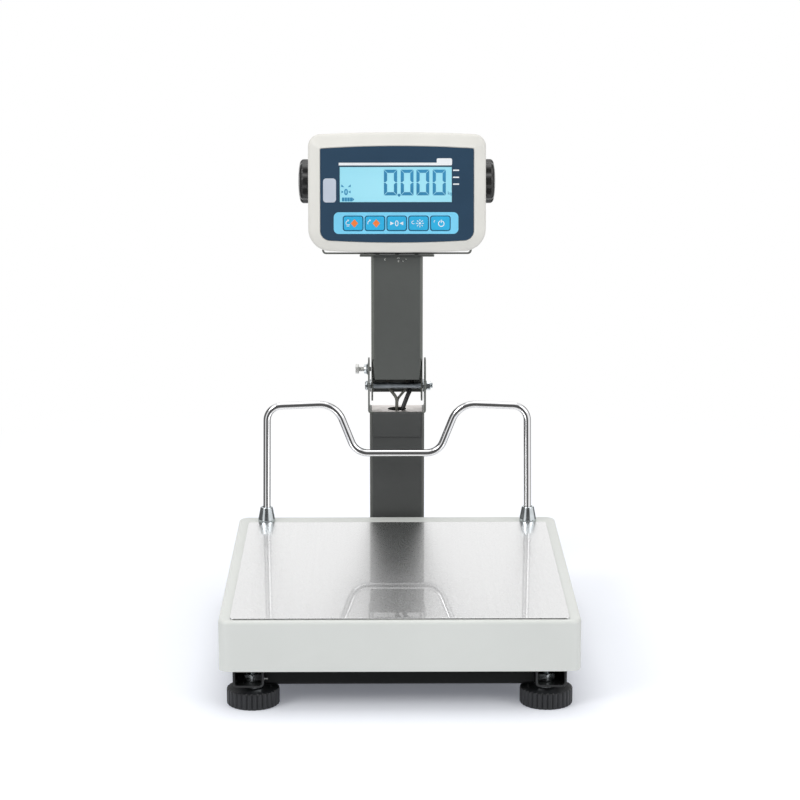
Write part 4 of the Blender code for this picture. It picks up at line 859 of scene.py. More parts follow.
@dataclass(frozen=True)
class Moulded(Coating):
    """Injection-moulded plastic with a fine spark-eroded grain."""

    colour: Point
    roughness: float
    grain: float = 0.4
    drift: float = 0.03

    def lay(self, recipe: Recipe) -> None:
        """Lay grained plastic."""
        recipe.set(Base_Color=recipe.drifting(recipe.noise(20.0, 3.0), self.colour, self.drift),
                   Roughness=recipe.gloss(recipe.noise(420.0), self.roughness, 0.03, 0.05))
        recipe.relief((recipe.noise(1900.0, 2.0, 0.6), 0.25 * self.grain, 0.00003))


@dataclass(frozen=True)
class Rubber(Coating):
    """Matt rubber with a dusty bloom."""

    colour: Point
    roughness: float = 0.44

    def lay(self, recipe: Recipe) -> None:
        """Lay rubber with its bloom.

        Args:
            recipe: The material in the making.
        """
        bloom = recipe.noise(90.0, 4.0, 0.6)
        tone = recipe.ramp(bloom, [(0.35, shaded(self.colour, 0.85)), (0.75, shaded(self.colour, 1.35))])
        recipe.set(Base_Color=tone, Roughness=recipe.gloss(bloom, self.roughness, 0.06, 0.08))
        recipe.relief((recipe.noise(1500.0), 0.3, 0.00004))


@dataclass(frozen=True)
class Film(Coating):
    """Printed polyester film or a layer of ink on it: satin, with a fine tooth."""

    colour: Point
    roughness: float = 0.42
    drift: float = 0.04
    specular: float = 0.5

    def lay(self, recipe: Recipe) -> None:
        """Lay satin film."""
        recipe.set(Base_Color=recipe.drifting(recipe.noise(34.0, 3.0), self.colour, self.drift),
                   Roughness=recipe.gloss(recipe.noise(700.0), self.roughness, 0.03, 0.04),
                   Specular_IOR_Level=self.specular)
        recipe.relief((recipe.noise(2600.0, 1.0), 0.1, 0.00002))


@dataclass(frozen=True)
class LitGlass(Coating):
    """The backlit glass of the display, a little brighter towards its middle."""

    middle: Point
    edge: Point
    glow: float
    centre: Point = (-0.0012, 0.0, 0.378)
    stretch: Point = (18.0, 0.0, 46.0)
    reach: float = 1.3
    roughness: float = 0.22
    specular: float = 0.35

    def lay(self, recipe: Recipe) -> None:
        """Lay glass that glows from within.

        Args:
            recipe: The material in the making.
        """
        shift = tuple(-c * s for c, s in zip(self.centre, self.stretch))
        away = recipe.add("VectorMath", {0: recipe.place(self.stretch, shift)}, operation="LENGTH")
        tone = recipe.ramp(recipe.spread(away.outputs["Value"], 0.0, 1.0, 0.0, self.reach),
                           [(0.0, self.middle), (1.0, self.edge)])
        recipe.set(Base_Color=tone, Roughness=self.roughness, Specular_IOR_Level=self.specular,
                   Emission_Color=tone, Emission_Strength=self.glow)


class Finish(Enum):
    """Every finish on the scale: the slot name that it stands for, and how it is made."""

    COVER_PAINT = ("light_grey_paint", PowderCoat((0.655, 0.672, 0.645), 0.38, 0.6, 0.02))
    DARK_PAINT = ("dark_grey_powder_coat",
                  PowderCoat((0.086, 0.092, 0.087), 0.42, 1.0, 0.06, highlight_from=0.0203))
    RAIL_PAINT = ("black_powder_coat", PowderCoat((0.01, 0.011, 0.011), 0.3, 0.6, 0.1, 0.7))
    BRIGHT_ZINC = ("zinc_plate", Plated((0.8, 0.8, 0.78), 0.36))
    # Painted light: a lighter copy of the dark grey paint, standing in for the side light that the bracket's
    # ears catch.
    LIT_HINGE_PAINT = ("dark_grey_powder_coat", PowderCoat((0.125, 0.132, 0.12), 0.38, 1.0, 0.06))
    # Painted shade: a darker copy of the dark grey paint for the lower column and the hinge tab, which stand
    # in shade.
    SHADED_COLUMN_PAINT = ("dark_grey_powder_coat",
                    PowderCoat((0.061, 0.064, 0.063), 0.42, 1.0, 0.06, highlight_from=0.0218))
    # Painted shade: a darker, less glossy copy of the rails' black paint for the crossbars and the parts
    # under the cover, which lie in shade.
    SHADED_BLACK_PAINT = ("black_powder_coat", PowderCoat((0.0045, 0.005, 0.005), 0.46, 1.0, 0.1, 0.18))
    PAN_STEEL = ("brushed_stainless", BrushedSteel((0.765, 0.765, 0.767), 0.278, 0.000003, lacquer=0.68,
                                                   lacquer_index=1.75, uneven=0.8))
    CHROME = ("bright_chrome", Plated((0.8, 0.8, 0.81), 0.04, 0.015, 0.02))
    ZINC = ("zinc_plate", Plated((0.62, 0.66, 0.68), 0.14, 0.06, 0.12))
    SLEEVE = ("zinc_plate", Plated((0.46, 0.51, 0.55), 0.36, 0.1, 0.2))
    BARE_STEEL = ("zinc_plate", Plated((0.8, 0.76, 0.735), 0.34, 0.04, 0.2))
    ALUMINIUM = ("machined_aluminium", BrushedSteel((0.7, 0.71, 0.72), 0.32, 0.00001, (1.0, 1.0, 0.05)))
    CASE_PLASTIC = ("light_grey_plastic", Moulded((0.7, 0.69, 0.645), 0.4))
    KNOB_PLASTIC = ("black_plastic", Moulded((0.019, 0.019, 0.0185), 0.24, 0.6))
    RUBBER = ("foot_rubber", Rubber((0.0135, 0.0145, 0.0165)))
    LEAD = ("cable_jacket", Moulded((0.14, 0.14, 0.12), 0.32, 0.3, 0.08))
    JACKET = ("cable_jacket", Moulded((0.014, 0.014, 0.015), 0.3, 0.3, 0.05))
    NAVY = ("navy_overlay", Film((0.02, 0.054, 0.099), 0.38, 0.04, 0.35))
    KEY = ("key_blue", Film((0.016, 0.41, 0.71), 0.4))
    KEY_LINE = ("key_blue", Film((0.01, 0.11, 0.24), 0.45))
    STRIP = ("key_blue", Film((0.18, 0.6, 0.84), 0.42))
    ORANGE = ("key_blue", Film((0.85, 0.2, 0.03), 0.45))
    WHITE_INK = ("light_grey_plastic", Film((0.78, 0.8, 0.82), 0.45))
    LABEL = ("light_grey_plastic", Film((0.5, 0.55, 0.63), 0.4))
    SEGMENT = ("display_module", Film((0.032, 0.24, 0.44), 0.35, 0.14))
    DISPLAY = ("display_window", LitGlass((0.34, 0.7, 0.81), (0.29, 0.64, 0.76), 0.1))
    MODULE = ("display_module", Moulded((0.3, 0.55, 0.62), 0.45))
    BOARD = ("circuit_board", Moulded((0.02, 0.14, 0.06), 0.4, 0.6, 0.2))

    @property
    def slot(self) -> str:
        """The slot name."""
        return self.value[0]

    @property
    def material(self) -> bpy.types.Material:
        """The material, made the first time it is asked for."""
        name = self.name.lower()
        found = bpy.data.materials.get(name)
        return found if found else self.value[1].make(name)


def dress_nodes(finish: Finish, *names: str) -> None:
    """Give CAD nodes that are kept as they are a finish.

    Args:
        finish: The finish.
        names: The nodes' names.
    """
    for name in names:
        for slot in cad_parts[name].material_slots:
            slot.material = finish.material
        LOG.info("node %s dressed as %s", name, finish.name.lower())


def dress(obj: Thing, finish: Finish, angle: float, stands_for: Sequence[str]) -> None:
    """Shade and dress a piece, and hide the CAD nodes that it replaces.

    Args:
        obj: The piece.
        finish: Its finish.
        angle: Edges sharper than this stay sharp.
        stands_for: The CAD nodes that it replaces.
    """
    take(obj)
    bpy.ops.object.shade_smooth_by_angle(angle=radians(angle))
    obj.data.materials.clear()
    obj.data.materials.append(finish.material)
    if stands_for:
        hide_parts(*stands_for)


def hand_over(obj: Thing, finish: Finish, body: str, *stands_for: str, weighted: bool = True) -> None:
    """Dress and report one finished piece.

    Args:
        obj: The piece.
        finish: Its finish.
        body: The body that it rides on.
        stands_for: The CAD nodes that it replaces.
        weighted: Whether large faces keep their own shading.
    """
    dress(obj, finish, 32.0, stands_for)
    if weighted:
        add_modifier(obj, "WEIGHTED_NORMAL", keep_sharp=True, weight=100)
    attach(obj, body)
    LOG.info("piece %s on %s, %d faces", obj.name, body, len(obj.data.polygons))


def hand_head(obj: Thing, finish: Finish, body: str, *stands_for: str, weighted: bool = True) -> None:
    """Hand over a piece that was made in the leaning head's own frame."""
    hand_over(settle(obj, HEAD), finish, body, *stands_for, weighted=weighted)


def hand_across(obj: Thing, finish: Finish, bodies: tuple[str, str], start: Point, end: Point,
                *stands_for: str, angle: float = 70.0) -> None:
    """Dress and report one piece that runs between two bodies; it is attached to neither.

    Args:
        obj: The piece.
        finish: Its finish.
        bodies: The body at its first end, then the other one; only named in the report.
        start: Where it starts to leave the first body; not used.
        end: Where it has reached the second one; not used.
        stands_for: The CAD nodes that it replaces.
        angle: Edges sharper than this stay sharp.
    """
    dress(obj, finish, angle, stands_for)
    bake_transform(obj)
    LOG.info("piece %s from %s to %s, %d faces", obj.name, *bodies, len(obj.data.polygons))


# Fasteners


def hex_ring(across: float, limit: float, centre: Place, along: float, axis: str) -> Ring:
    """One ring of a hexagon whose corners may be turned down to a circle.

    Args:
        across: The size across the flats.
        limit: The radius that cuts the corners off.
        centre: The hexagon's middle.
        along: The ring's place along the axis.
        axis: X, Y or Z.

    Returns:
        The ring.
    """
    ring = []
    for k in range(HEX_STEPS):
        angle = 2 * pi * k / HEX_STEPS
        flat = (angle + pi / 6) % (pi / 3) - pi / 6
        ring.append(round_axis(centre, along, min(across / 2 / cos(flat), limit), angle, axis))
    return ring


def hexagon(name: str, across: float, height: float, centre: Place, axis: str) -> Thing:
    """A chamfered hexagon head or nut, from its centre along its axis.

    Args:
        name: Its name.
        across: The size across the flats.
        height: Its height, negative to run the other way.
        centre: The middle of its first face.
        axis: X, Y or Z.

    Returns:
        The object.
    """
    corner, turned, step = across / 2 / cos(pi / 6), across / 2 * 0.97, 0.12 * height
    levels = ((0.0, turned), (step, corner), (height - step, corner), (height, turned))
    rings = [hex_ring(across, limit, centre, along, axis) for along, limit in levels]
    return Workpiece.loft(name, rings).done()


def threaded_rod(name: str, radius: float, start: Place, length: float, axis: str,
                 pitch: float = 0.0008, sides: int = 20) -> Thing:
    """A stretch of screw thread with chamfered ends.

    Args:
        name: Its name.
        radius: The thread's outer radius.
        start: The middle of its first end.
        length: Its length, negative to run the other way.
        axis: X, Y or Z.
        pitch: The thread's pitch.
        sides: Points round it.

    Returns:
        The object.
    """
    root = radius - 0.55 * pitch
    turns = max(2, round(abs(length) / pitch))
    step = length / turns
    profile = [(0.0, root - 0.1 * pitch)]
    for i in range(turns):
        profile += [(step * (i + 0.5), radius), (step * (i + 1.0), root)]
    return turned(name, profile, start, axis, sides)


# Sub-assemblies


@dataclass
class LevellingFeet:
    """Four ribbed rubber pads on threaded studs with lock nuts.

    A ring is given as how far it lies inside the radius, how much of the ribs it shows, and how far it lies
    above the pad's sole or below its top.
    """

    radius: float = 0.02135
    height: float = 0.0137
    low_rings: Points = (
        (0.003, 0.0, 0.0012), (0.0032, 0.0, 0.0), (0.0013, 0.3, 0.0), (0.0004, 1.0, 0.0005),
        (0.0, 1.0, 0.0013))
    high_rings: Points = (
        (0.0, 1.0, 0.0012), (0.0003, 1.0, 0.0004), (0.0011, 0.5, 0.0), (0.0065, 0.0, 0.0),
        (0.0072, 0.0, 0.0006), (0.01375, 0.0, 0.0006), (0.01435, 0.0, 0.0))
    ribs: int = 30
    rib_steps: int = 8
    rib_depth: float = 0.0011
    rib_sharpness: float = 3.0
    stud_radius: float = 0.004
    stud_root: float = 0.004
    stud_top: float = 0.0395
    stud_pitch: float = 0.00125
    nut_across: float = 0.013
    nut_top: float = 0.0167

    def build_pad(self) -> Thing:
        """Make the pad, standing at the origin.

        Returns:
            The object.
        """
        levels = list(self.low_rings)
        levels += [(inset, share, self.height - down) for inset, share, down in self.high_rings]
        rings = []
        for inset, share, z in levels:
            flat = lobed_circle(self.ribs, self.rib_steps, self.radius - inset, share * self.rib_depth,
                                self.rib_sharpness)
            rings.append([(x, y, z) for x, y in flat])
        return Workpiece.loft("foot_pad", rings).done()

    def build(self) -> None:
        """Make one foot and copy it to the four corners."""
        low = self.height - self.stud_root
        height = self.nut_top - self.height
        pad = self.build_pad()
        stud = threaded_rod("foot_stud", self.stud_radius, (0, 0, low), self.stud_top - low, "Z",
                            self.stud_pitch)
        nut = hexagon("foot_nut", self.nut_across, height, (0, 0, self.height), "Z")
        for row, y in FOOT_ROWS:
            for side, sign in SIDES:
                move = Matrix.Translation((sign * FOOT_X, y, 0.0))
                body = f"foot_{row}_{side}"
                hand_over(twin(pad, f"foot_pad_{row}_{side}", move), Finish.RUBBER, body, body)
                hand_over(twin(stud, f"foot_stud_{row}_{side}", move), Finish.ZINC, body)
                hand_over(twin(nut, f"foot_nut_{row}_{side}", move), Finish.ZINC, body)
        for model in (pad, stud, nut):
            bpy.data.objects.remove(model, do_unlink=True)


@dataclass
class BaseFrame:
    """Two open rails and two crossbars of square tube, with what bolts between them.

    A drill is given as its start and its length.
    """

    tube_size: float = 0.025
    wall: float = 0.0019
    corner: float = 0.0035
    middle_z: float = 0.0295
    rail_x: float = 0.1215
    rail_front: float = -0.1922
    rail_back: float = 0.1218
    stud_clear: float = 0.0044
    wall_drill: Flat = (0.012, 0.01)
    nut_drill: Flat = (0.01, 0.03)
    nut_across: float = 0.013
    nut_low: float = 0.0189
    nut_height: float = 0.0065
    pin_radius: float = 0.0006
    pin_length: float = 0.004
    pin_overlap: float = 0.0028
    pin_y: float = -0.1888
    pin_z: float = 0.0238
    bar_reach: float = 0.1087
    bar_ys: tuple[float, float] = (-0.1727, 0.0923)
    stop_x: float = 0.085
    stop_radius: float = 0.003
    stop_low: float = 0.04
    stop_top: float = 0.0652
    stop_pitch: float = 0.001
    stop_nut_across: float = 0.01
    stop_nut_low: float = 0.042
    stop_nut_height: float = 0.005
    cell_edge: float = 0.0008
    cell_bore: float = 0.0078
    cell_bore_y: float = 0.0125
    cell_slot: float = 0.005
    cell_drill: float = 0.0033
    cell_bolts: tuple[float, float] = (0.04, 0.055)
    cell_spare: float = 0.002

    def build_rails(self) -> None:
        """The two rails with their weld nuts, both drilled for the foot studs, and the left rail's pin."""
        for side, sign in SIDES:
            rail = tube(f"rail_tube_{side}", self.tube_size, self.tube_size, self.corner, self.wall,
                        self.rail_front, self.rail_back, "Y", (sign * self.rail_x, self.middle_z))
            start, length = self.wall_drill
            for _, y in FOOT_ROWS:
                drill(rail, self.stud_clear, (sign * FOOT_X, y, start), length)
            hand_over(rail, Finish.RAIL_PAINT, "base", f"rail_{side}")
            start, length = self.nut_drill
            for end, y in FOOT_ROWS:
                nut = hexagon(f"weld_nut_{end}_{side}", self.nut_across, self.nut_height,
                              (sign * FOOT_X, y, self.nut_low), "Z")
                drill(nut, self.stud_clear, (sign * FOOT_X, y, start), length)
                hand_over(nut, Finish.ZINC, "base")
        root = self.tube_size / 2 - self.rail_x + self.pin_overlap
        pin = rod("rail_pin_left", self.pin_radius, (root, self.pin_y, self.pin_z), -self.pin_length, "X", 20)
        hand_over(pin, Finish.BRIGHT_ZINC, "base")

    def build_crossbars(self) -> None:
        """The two crossbars with their overload stop screws."""
        for end, y in zip(("front", "rear"), self.bar_ys):
            bar = tube(f"{end}_bar_tube", self.tube_size, self.tube_size, self.corner, self.wall,
                       -self.bar_reach, self.bar_reach, "X", (y, self.middle_z))
            hand_over(bar, Finish.SHADED_BLACK_PAINT, "base", f"{end}_crossbar")
            for side, sign in SIDES:
                x = sign * self.stop_x
                screw = threaded_rod("stop_thread", self.stop_radius, (x, y, self.stop_low),
                                     self.stop_top - self.stop_low, "Z", self.stop_pitch)
                nut = hexagon("stop_nut", self.stop_nut_across, self.stop_nut_height,
                              (x, y, self.stop_nut_low), "Z")
                hand_over(weld([screw, nut], f"stop_screw_{end}_{side}"), Finish.ZINC, "base")

    def build_load_cell(self) -> None:
        """The machined bar between frame and platform, whose bored middle gives as the platform sinks."""
        low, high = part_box("load_cell")
        middle = (low + high) / 2
        left, deep = low.x - self.cell_spare, high.x - low.x + 2 * self.cell_spare
        under, tall = low.z - self.cell_spare, high.z - low.z + 2 * self.cell_spare
        cell = Workpiece.block("cell_bar", low, high).done()
        soften(cell, self.cell_edge, 2, 60)
        for y in (middle.y - self.cell_bore_y, middle.y + self.cell_bore_y):
            drill(cell, self.cell_bore, (left, y, middle.z), deep, "X", 40)
        notch(cell, (left, middle.y - self.cell_bore_y, middle.z - self.cell_slot / 2),
              (left + deep, middle.y + self.cell_bore_y, middle.z + self.cell_slot / 2))
        for reach in self.cell_bolts:
            for y in (middle.y - reach, middle.y + reach):
                drill(cell, self.cell_drill, (0.0, y, under), tall)
        give = self.cell_bore_y + self.cell_bore
        hand_across(cell, Finish.ALUMINIUM, ("base", "platform"), (0, middle.y + give, middle.z),
                    (0, middle.y - give, middle.z), "load_cell", angle=32.0)

    def build(self) -> None:
        """Make the frame and the load cell, and dress the parts between the rails."""
        self.build_rails()
        self.build_crossbars()
        self.build_load_cell()
        dress_nodes(Finish.SHADED_BLACK_PAINT, "cell_crossmember", "load_spreader")
        dress_nodes(Finish.ALUMINIUM, "cell_lower_spacer", "cell_upper_spacer")
        dress_nodes(Finish.ZINC, "cell_lower_bolt_front", "cell_lower_bolt_rear", "cell_upper_bolt_front",
                    "cell_upper_bolt_rear")
        dress_nodes(Finish.RUBBER, "cover_bumper_left", "cover_bumper_right")


@dataclass
class Platform:
    """The painted cover with the stainless pan on it."""

    half_width: float = 0.145
    front: float = -0.2002
    back: float = 0.1298
    skirt: float = 0.042
    sheet: float = 0.0015
    corner: float = 0.009
    edge: float = 0.003
    pan_half: float = 0.1355
    pan_front: float = -0.1962
    pan_back: float = 0.1048
    pan_corner: float = 0.003
    pan_edge: float = 0.00035
    pan_low: float = 0.0753
    pan_high: float = 0.0763

    def build_cover(self) -> None:
        """A folded tray with its mouth down."""
        low = COVER_TOP - self.skirt
        work = Workpiece.block("cover_shell", (-self.half_width, self.front, low),
                               (self.half_width, self.back, COVER_TOP))
        work.pick_edges(lambda a, b: abs(a.z - b.z) > self.skirt / 2)
        work.bevel(self.corner, 12)
        work.pick_edges(lambda a, b: min(a.z, b.z) > COVER_TOP - NEAR)
        work.bevel(self.edge, 8)
        work.remove_faces(lambda middle, normal: normal.z < -0.9)
        cover = work.done()
        add_modifier(cover, "SOLIDIFY", thickness=self.sheet, offset=-1.0, use_even_offset=True)
        for _, sign in SIDES:
            drill(cover, GUARD_HOLE, (sign * GUARD_X, GUARD_Y, COVER_TOP - 0.01), 0.02)
        hand_over(cover, Finish.COVER_PAINT, "platform", "platform_cover")

    def build_pan(self) -> None:
        """The pan's plate, its long edges a little broken."""
        work = Workpiece.block("pan_plate", (-self.pan_half, self.pan_front, self.pan_low),
                               (self.pan_half, self.pan_back, self.pan_high))
        work.pick_edges(lambda a, b: abs(a.z - b.z) > 0.0005)
        work.bevel(self.pan_corner, 8)
        work.pick_edges(lambda a, b: min(a.z, b.z) > self.pan_high - TOUCH)
        work.bevel(self.pan_edge, 3)
        hand_over(work.done(), Finish.PAN_STEEL, "platform", "weighing_pan")

    def build(self) -> None:
        """Make the cover and the pan."""
        self.build_cover()
        self.build_pan()


@dataclass
class Guard:
    """The bent chrome rod behind the pan, its cones and its nuts.

    A corner of the rod is given as its distance from the middle, its height and the radius of its bend.
    """

    radius: float = 0.0034
    corners: Points = (
        (0.1195, -0.012, 0.0), (0.118, 0.1074, 0.0135), (0.0558, 0.1099, 0.022), (0.0376, 0.064, 0.016))
    cone: Profile = (
        (0.0, 0.0037), (0.0, 0.00755), (0.0003, 0.00785), (0.0019, 0.00785), (0.0024, 0.00775),
        (0.0128, 0.00575), (0.0134, 0.00525), (0.0135, 0.00465), (0.0135, 0.0039), (0.0131, 0.0037))
    nut_across: float = 0.011
    nut_height: float = 0.005
    nut_top: float = 0.0732

    def build_rod(self) -> None:
        """The rod, bent at six corners."""
        left = [(-x, GUARD_Y, COVER_TOP + z) for x, z, _ in self.corners]
        right = [(-x, y, z) for x, y, z in reversed(left)]
        bends = [bend for _, _, bend in self.corners]
        route = filleted(left + right, bends + bends[::-1], 14)
        piece = Workpiece.loft("guard_bar", tube_rings(route, self.radius, 32)).done()
        hand_over(piece, Finish.CHROME, "platform", "guard_rod", weighted=False)

    def build_cones(self) -> None:
        """The two cones on the cover and the nuts under it."""
        for side, sign in SIDES:
            x = sign * GUARD_X
            cone = turned(f"rod_cone_{side}", self.cone, (x, GUARD_Y, COVER_TOP + GAP), "Z", 48, Ends.JOINED)
            hand_over(cone, Finish.ZINC, "platform", f"guard_cone_{side}")
            nut = hexagon(f"rod_nut_{side}", self.nut_across, -self.nut_height,
                          (x, GUARD_Y, self.nut_top), "Z")
            hand_over(nut, Finish.ZINC, "platform")

    def build(self) -> None:
        """Make the guard."""
        self.build_rod()
        self.build_cones()


@dataclass
class StripBend:
    """A flat strip bent to a U in the plane of X and Z, its arms rounded off at their tops."""

    outer_half: float
    bottom: float
    top: float
    sheet: float
    bend: float
    half_width: float
    tip_radius: float
    middle_y: float = 0.0
    tip_width: float = 0.0002

    def width_at(self, z: float) -> float:
        """Half the strip's width at a height, which narrows round the arm's tip.

        Args:
            z: The height.

        Returns:
            Half the width.
        """
        above = z - (self.top - self.tip_radius)
        if above <= 0:
            return self.half_width
        inner = self.half_width - self.tip_radius
        return max(inner + max(self.tip_radius ** 2 - above ** 2, 0.0) ** 0.5, self.tip_width)

    def route(self) -> list[Flat]:
        """Lay out the strip's middle line, from the left arm's tip to the right one's.

        Returns:
            The line.
        """
        tips = [self.top - self.tip_radius * (1 - sin(pi / 2 * i / 12)) for i in range(13)]
        tips[-1] = self.top - TOUCH
        rise = self.bend * 1.5
        reach = tips[0] - self.bottom - rise
        side = [self.bottom + rise + reach * i / 4 for i in range(4)] + tips
        middle = self.outer_half - self.sheet / 2
        low = self.bottom + self.sheet / 2
        radius = self.bend - self.sheet / 2
        flat = middle - radius
        line = [(-middle, z) for z in reversed(side)] + arc((-flat, low + radius), radius, pi, 1.5 * pi, 8)
        line += [(flat - 2 * flat * (7 - i) / 8, low) for i in range(7)]
        line += arc((flat, low + radius), radius, 1.5 * pi, 2 * pi, 8) + [(middle, z) for z in side]
        return line

    def build(self, name: str) -> Thing:
        """Make the strip as a loft along its middle line.

        Args:
            name: The piece's name.

        Returns:
            The object.
        """
        route = self.route()
        rings = []
        for i, (x, z) in enumerate(route):
            ahead = Vector(route[min(i + 1, len(route) - 1)]) - Vector(route[max(i - 1, 0)])
            out = Vector((ahead[1], -ahead[0])).normalized() * self.sheet / 2
            wide = self.width_at(z)
            inner, outer = (x - out[0], z - out[1]), (x + out[0], z + out[1])
            rings.append([(a, self.middle_y + way * wide, b)
                          for way, (a, b) in ((-1, inner), (-1, outer), (1, outer), (1, inner))])
        return Workpiece.loft(name, rings).done()


@dataclass
class Column:
    """The lower column on its bracket."""

    width: float = 0.05
    depth: float = 0.03
    wall: float = 0.0015
    corner: float = 0.003
    bottom: float = 0.017
    top: float = 0.1702
    cable_hole: float = 0.004
    cable_z: float = 0.0255
    foot_sheet: float = 0.004
    foot_corner: float = 0.0015
    bolt_x: float = 0.014
    bolt_hole: float = 0.0034

    def build(self) -> None:
        """Make the column's tube and foot plate, and dress its bracket and bolts."""
        column = tube("column_tube", self.width, self.depth, self.corner, self.wall, self.bottom, self.top,
                      "Z", (0.0, COLUMN_Y))
        drill(column, self.cable_hole, (0.0, COLUMN_Y - self.depth / 2 - 0.003, self.cable_z), 0.006, "Y")
        hand_over(column, Finish.SHADED_COLUMN_PAINT, "base", "lower_column")
        half_x, half_y = self.width / 2 - self.wall, self.depth / 2 - self.wall
        work = Workpiece.block("column_foot", (-half_x, COLUMN_Y - half_y, self.bottom),
                               (half_x, COLUMN_Y + half_y, self.bottom + self.foot_sheet))
        work.pick_edges(lambda a, b: abs(a.z - b.z) > self.foot_sheet / 2)
        work.bevel(self.foot_corner, 4)
        foot = work.done()
        for _, sign in SIDES:
            drill(foot, self.bolt_hole, (sign * self.bolt_x, COLUMN_Y, self.bottom - 0.002), 0.01)
        hand_over(foot, Finish.DARK_PAINT, "base")
        dress_nodes(Finish.SHADED_BLACK_PAINT, "column_bracket")
        dress_nodes(Finish.ZINC, "column_bolt_left", "column_bolt_right")


@dataclass
class Hinge:
    """The bent bracket with its tab, the pivot with its sleeve, and the lock screw.

    A turned profile is given as pairs of distance along the axis and radius.
    """

    outer_half: float = 0.02655
    half_depth: float = 0.015
    plate_top: float = 0.172
    sheet: float = 0.0015
    bend: float = 0.003
    tip_radius: float = 0.013
    lock_z: float = 0.2092
    hole_radius: float = 0.0085
    hole_shift: float = 0.001
    ear_height: float = 0.0475
    edge: float = 0.0002
    face_size: Flat = (0.0462, 0.0292)
    face_corner: float = 0.001
    face_sheet: float = 0.00012
    tab_width: float = 0.044
    tab_drop: float = 0.023
    tab_root: float = 0.004
    tab_bend: float = 0.0015
    tab_edge: float = 0.00025
    pivot_radius: float = 0.0025
    pivot_head: Profile = (
        (0.0, 0.0036), (0.0004, 0.0044), (0.001, 0.0045), (0.0018, 0.0043), (0.0024, 0.0036),
        (0.0026, 0.0026))
    shank_radius: float = 0.00245
    shank_end: float = 0.028
    thread_length: float = 0.00485
    pivot_nut: Flat = (0.008, 0.004)
    sleeve_radius: float = 0.00265
    lock_radius: float = 0.0022
    lock_end: float = 0.0238
    lock_head: Flat = (0.008, 0.0031)
    lock_stand: float = 0.0045
    lock_nut_height: float = 0.0036
    lock_nut: Profile = (
        (0.0, 0.0029), (0.0, 0.004), (0.0004, 0.0043), (0.0016, 0.0044), (0.0026, 0.005), (0.0034, 0.0062),
        (0.0036, 0.0064), (0.0036, 0.0029))

    def drill_cable_hole(self, obj: Thing) -> None:
        """Drill the cables' hole through the bracket's floor or through the sheet on it."""
        start = (0.0, COLUMN_Y - self.hole_shift, self.plate_top - 0.006)
        drill(obj, self.hole_radius, start, 0.012, "Z", 48)

    def build_bracket(self) -> None:
        """The bracket: a bent U, and the bare sheet on its floor."""
        strip = StripBend(self.outer_half, self.plate_top - self.sheet, self.plate_top + self.ear_height,
                          self.sheet, self.bend, self.half_depth, self.tip_radius, COLUMN_Y)
        bracket = strip.build("hinge_plate")
        self.drill_cable_hole(bracket)
        for z in (PIVOT_Z, self.lock_z):
            drill(bracket, PIVOT_HOLE, (-0.04, COLUMN_Y, z), 0.08, "X")
        soften(bracket, self.edge, 2, 50)
        hand_over(bracket, Finish.LIT_HINGE_PAINT, "base", "hinge_bracket")
        flat = rounded_rectangle(*self.face_size, self.face_corner, 4, (0.0, COLUMN_Y))
        levels = (self.plate_top, self.plate_top + self.face_sheet)
        face = Workpiece.loft("hinge_face", [[(x, y, z) for x, y in flat] for z in levels]).done()
        self.drill_cable_hole(face)
        hand_over(face, Finish.BARE_STEEL, "base", weighted=False)

    def build_tab(self) -> None:
        """The tab that is turned down over the column's front."""
        back = COLUMN_Y - self.half_depth - GAP
        front, root = back - self.sheet, back + GAP + self.tab_root
        low, under, top = self.plate_top - self.tab_drop, self.plate_top - self.sheet, self.plate_top
        line = [(front, low), (back, low), (back, under), (root, under), (root, top), (front, top)]
        flat = filleted([(y, z, 0.0) for y, z in line], [0, 0, GAP, 0, 0, self.tab_bend], 6, True)
        half = self.tab_width / 2
        tab = Workpiece.loft("hinge_tab", [[(x, y, z) for y, z, _ in flat] for x in (-half, half)]).done()
        soften(tab, self.tab_edge, 2, 50)
        hand_over(tab, Finish.SHADED_COLUMN_PAINT, "base")

    def build_pivot(self) -> None:
        """The pivot bolt, its sleeve between the ears, and its nut."""
        centre = (0, COLUMN_Y, PIVOT_Z)
        seat = self.outer_half + GAP
        cap = turned("pivot_cap", [(-seat - along, radius) for along, radius in self.pivot_head], centre, "X")
        shank = rod("pivot_shank", self.shank_radius, (-seat, COLUMN_Y, PIVOT_Z), self.shank_end + seat, "X")
        thread = threaded_rod("pivot_thread", self.pivot_radius, (self.shank_end, COLUMN_Y, PIVOT_Z),
                              self.thread_length, "X")
        hand_over(weld([cap, shank, thread], "pivot_pin"), Finish.ZINC, "base", "pivot_bolt")
        nut = hexagon("pivot_hex", *self.pivot_nut, (seat, COLUMN_Y, PIVOT_Z), "X")
        hand_over(nut, Finish.ZINC, "base", "pivot_nut")
        reach = self.outer_half - self.sheet - GAP
        profile = [(-reach, self.pivot_radius), (-reach, self.sleeve_radius), (reach, self.sleeve_radius),
                   (reach, self.pivot_radius)]
        hand_over(turned("pivot_sleeve", profile, centre, "X", 40, Ends.JOINED), Finish.SLEEVE, "base")
        dress_nodes(Finish.ZINC, "pivot_washer_left", "pivot_washer_right")

    def build_lock_screw(self) -> None:
        """The lock screw and the weld nut that it turns in."""
        outer = -self.outer_half - self.lock_nut_height
        seat = outer - GAP - self.lock_stand
        across, height = self.lock_head
        head = hexagon("lock_head", across, -height, (seat, COLUMN_Y, self.lock_z), "X")
        thread = threaded_rod("lock_thread", self.lock_radius, (seat, COLUMN_Y, self.lock_z),
                              -self.lock_end - seat, "X")
        hand_over(weld([head, thread], "lock_bolt"), Finish.BRIGHT_ZINC, "lock_screw", "lock_screw")
        nut = turned("lock_weld_nut", self.lock_nut, (outer, COLUMN_Y, self.lock_z), "X", 32, Ends.JOINED)
        hand_over(nut, Finish.ZINC, "base")

    def build(self) -> None:
        """Make the hinge."""
        self.build_bracket()
        self.build_tab()
        self.build_pivot()
        self.build_lock_screw()


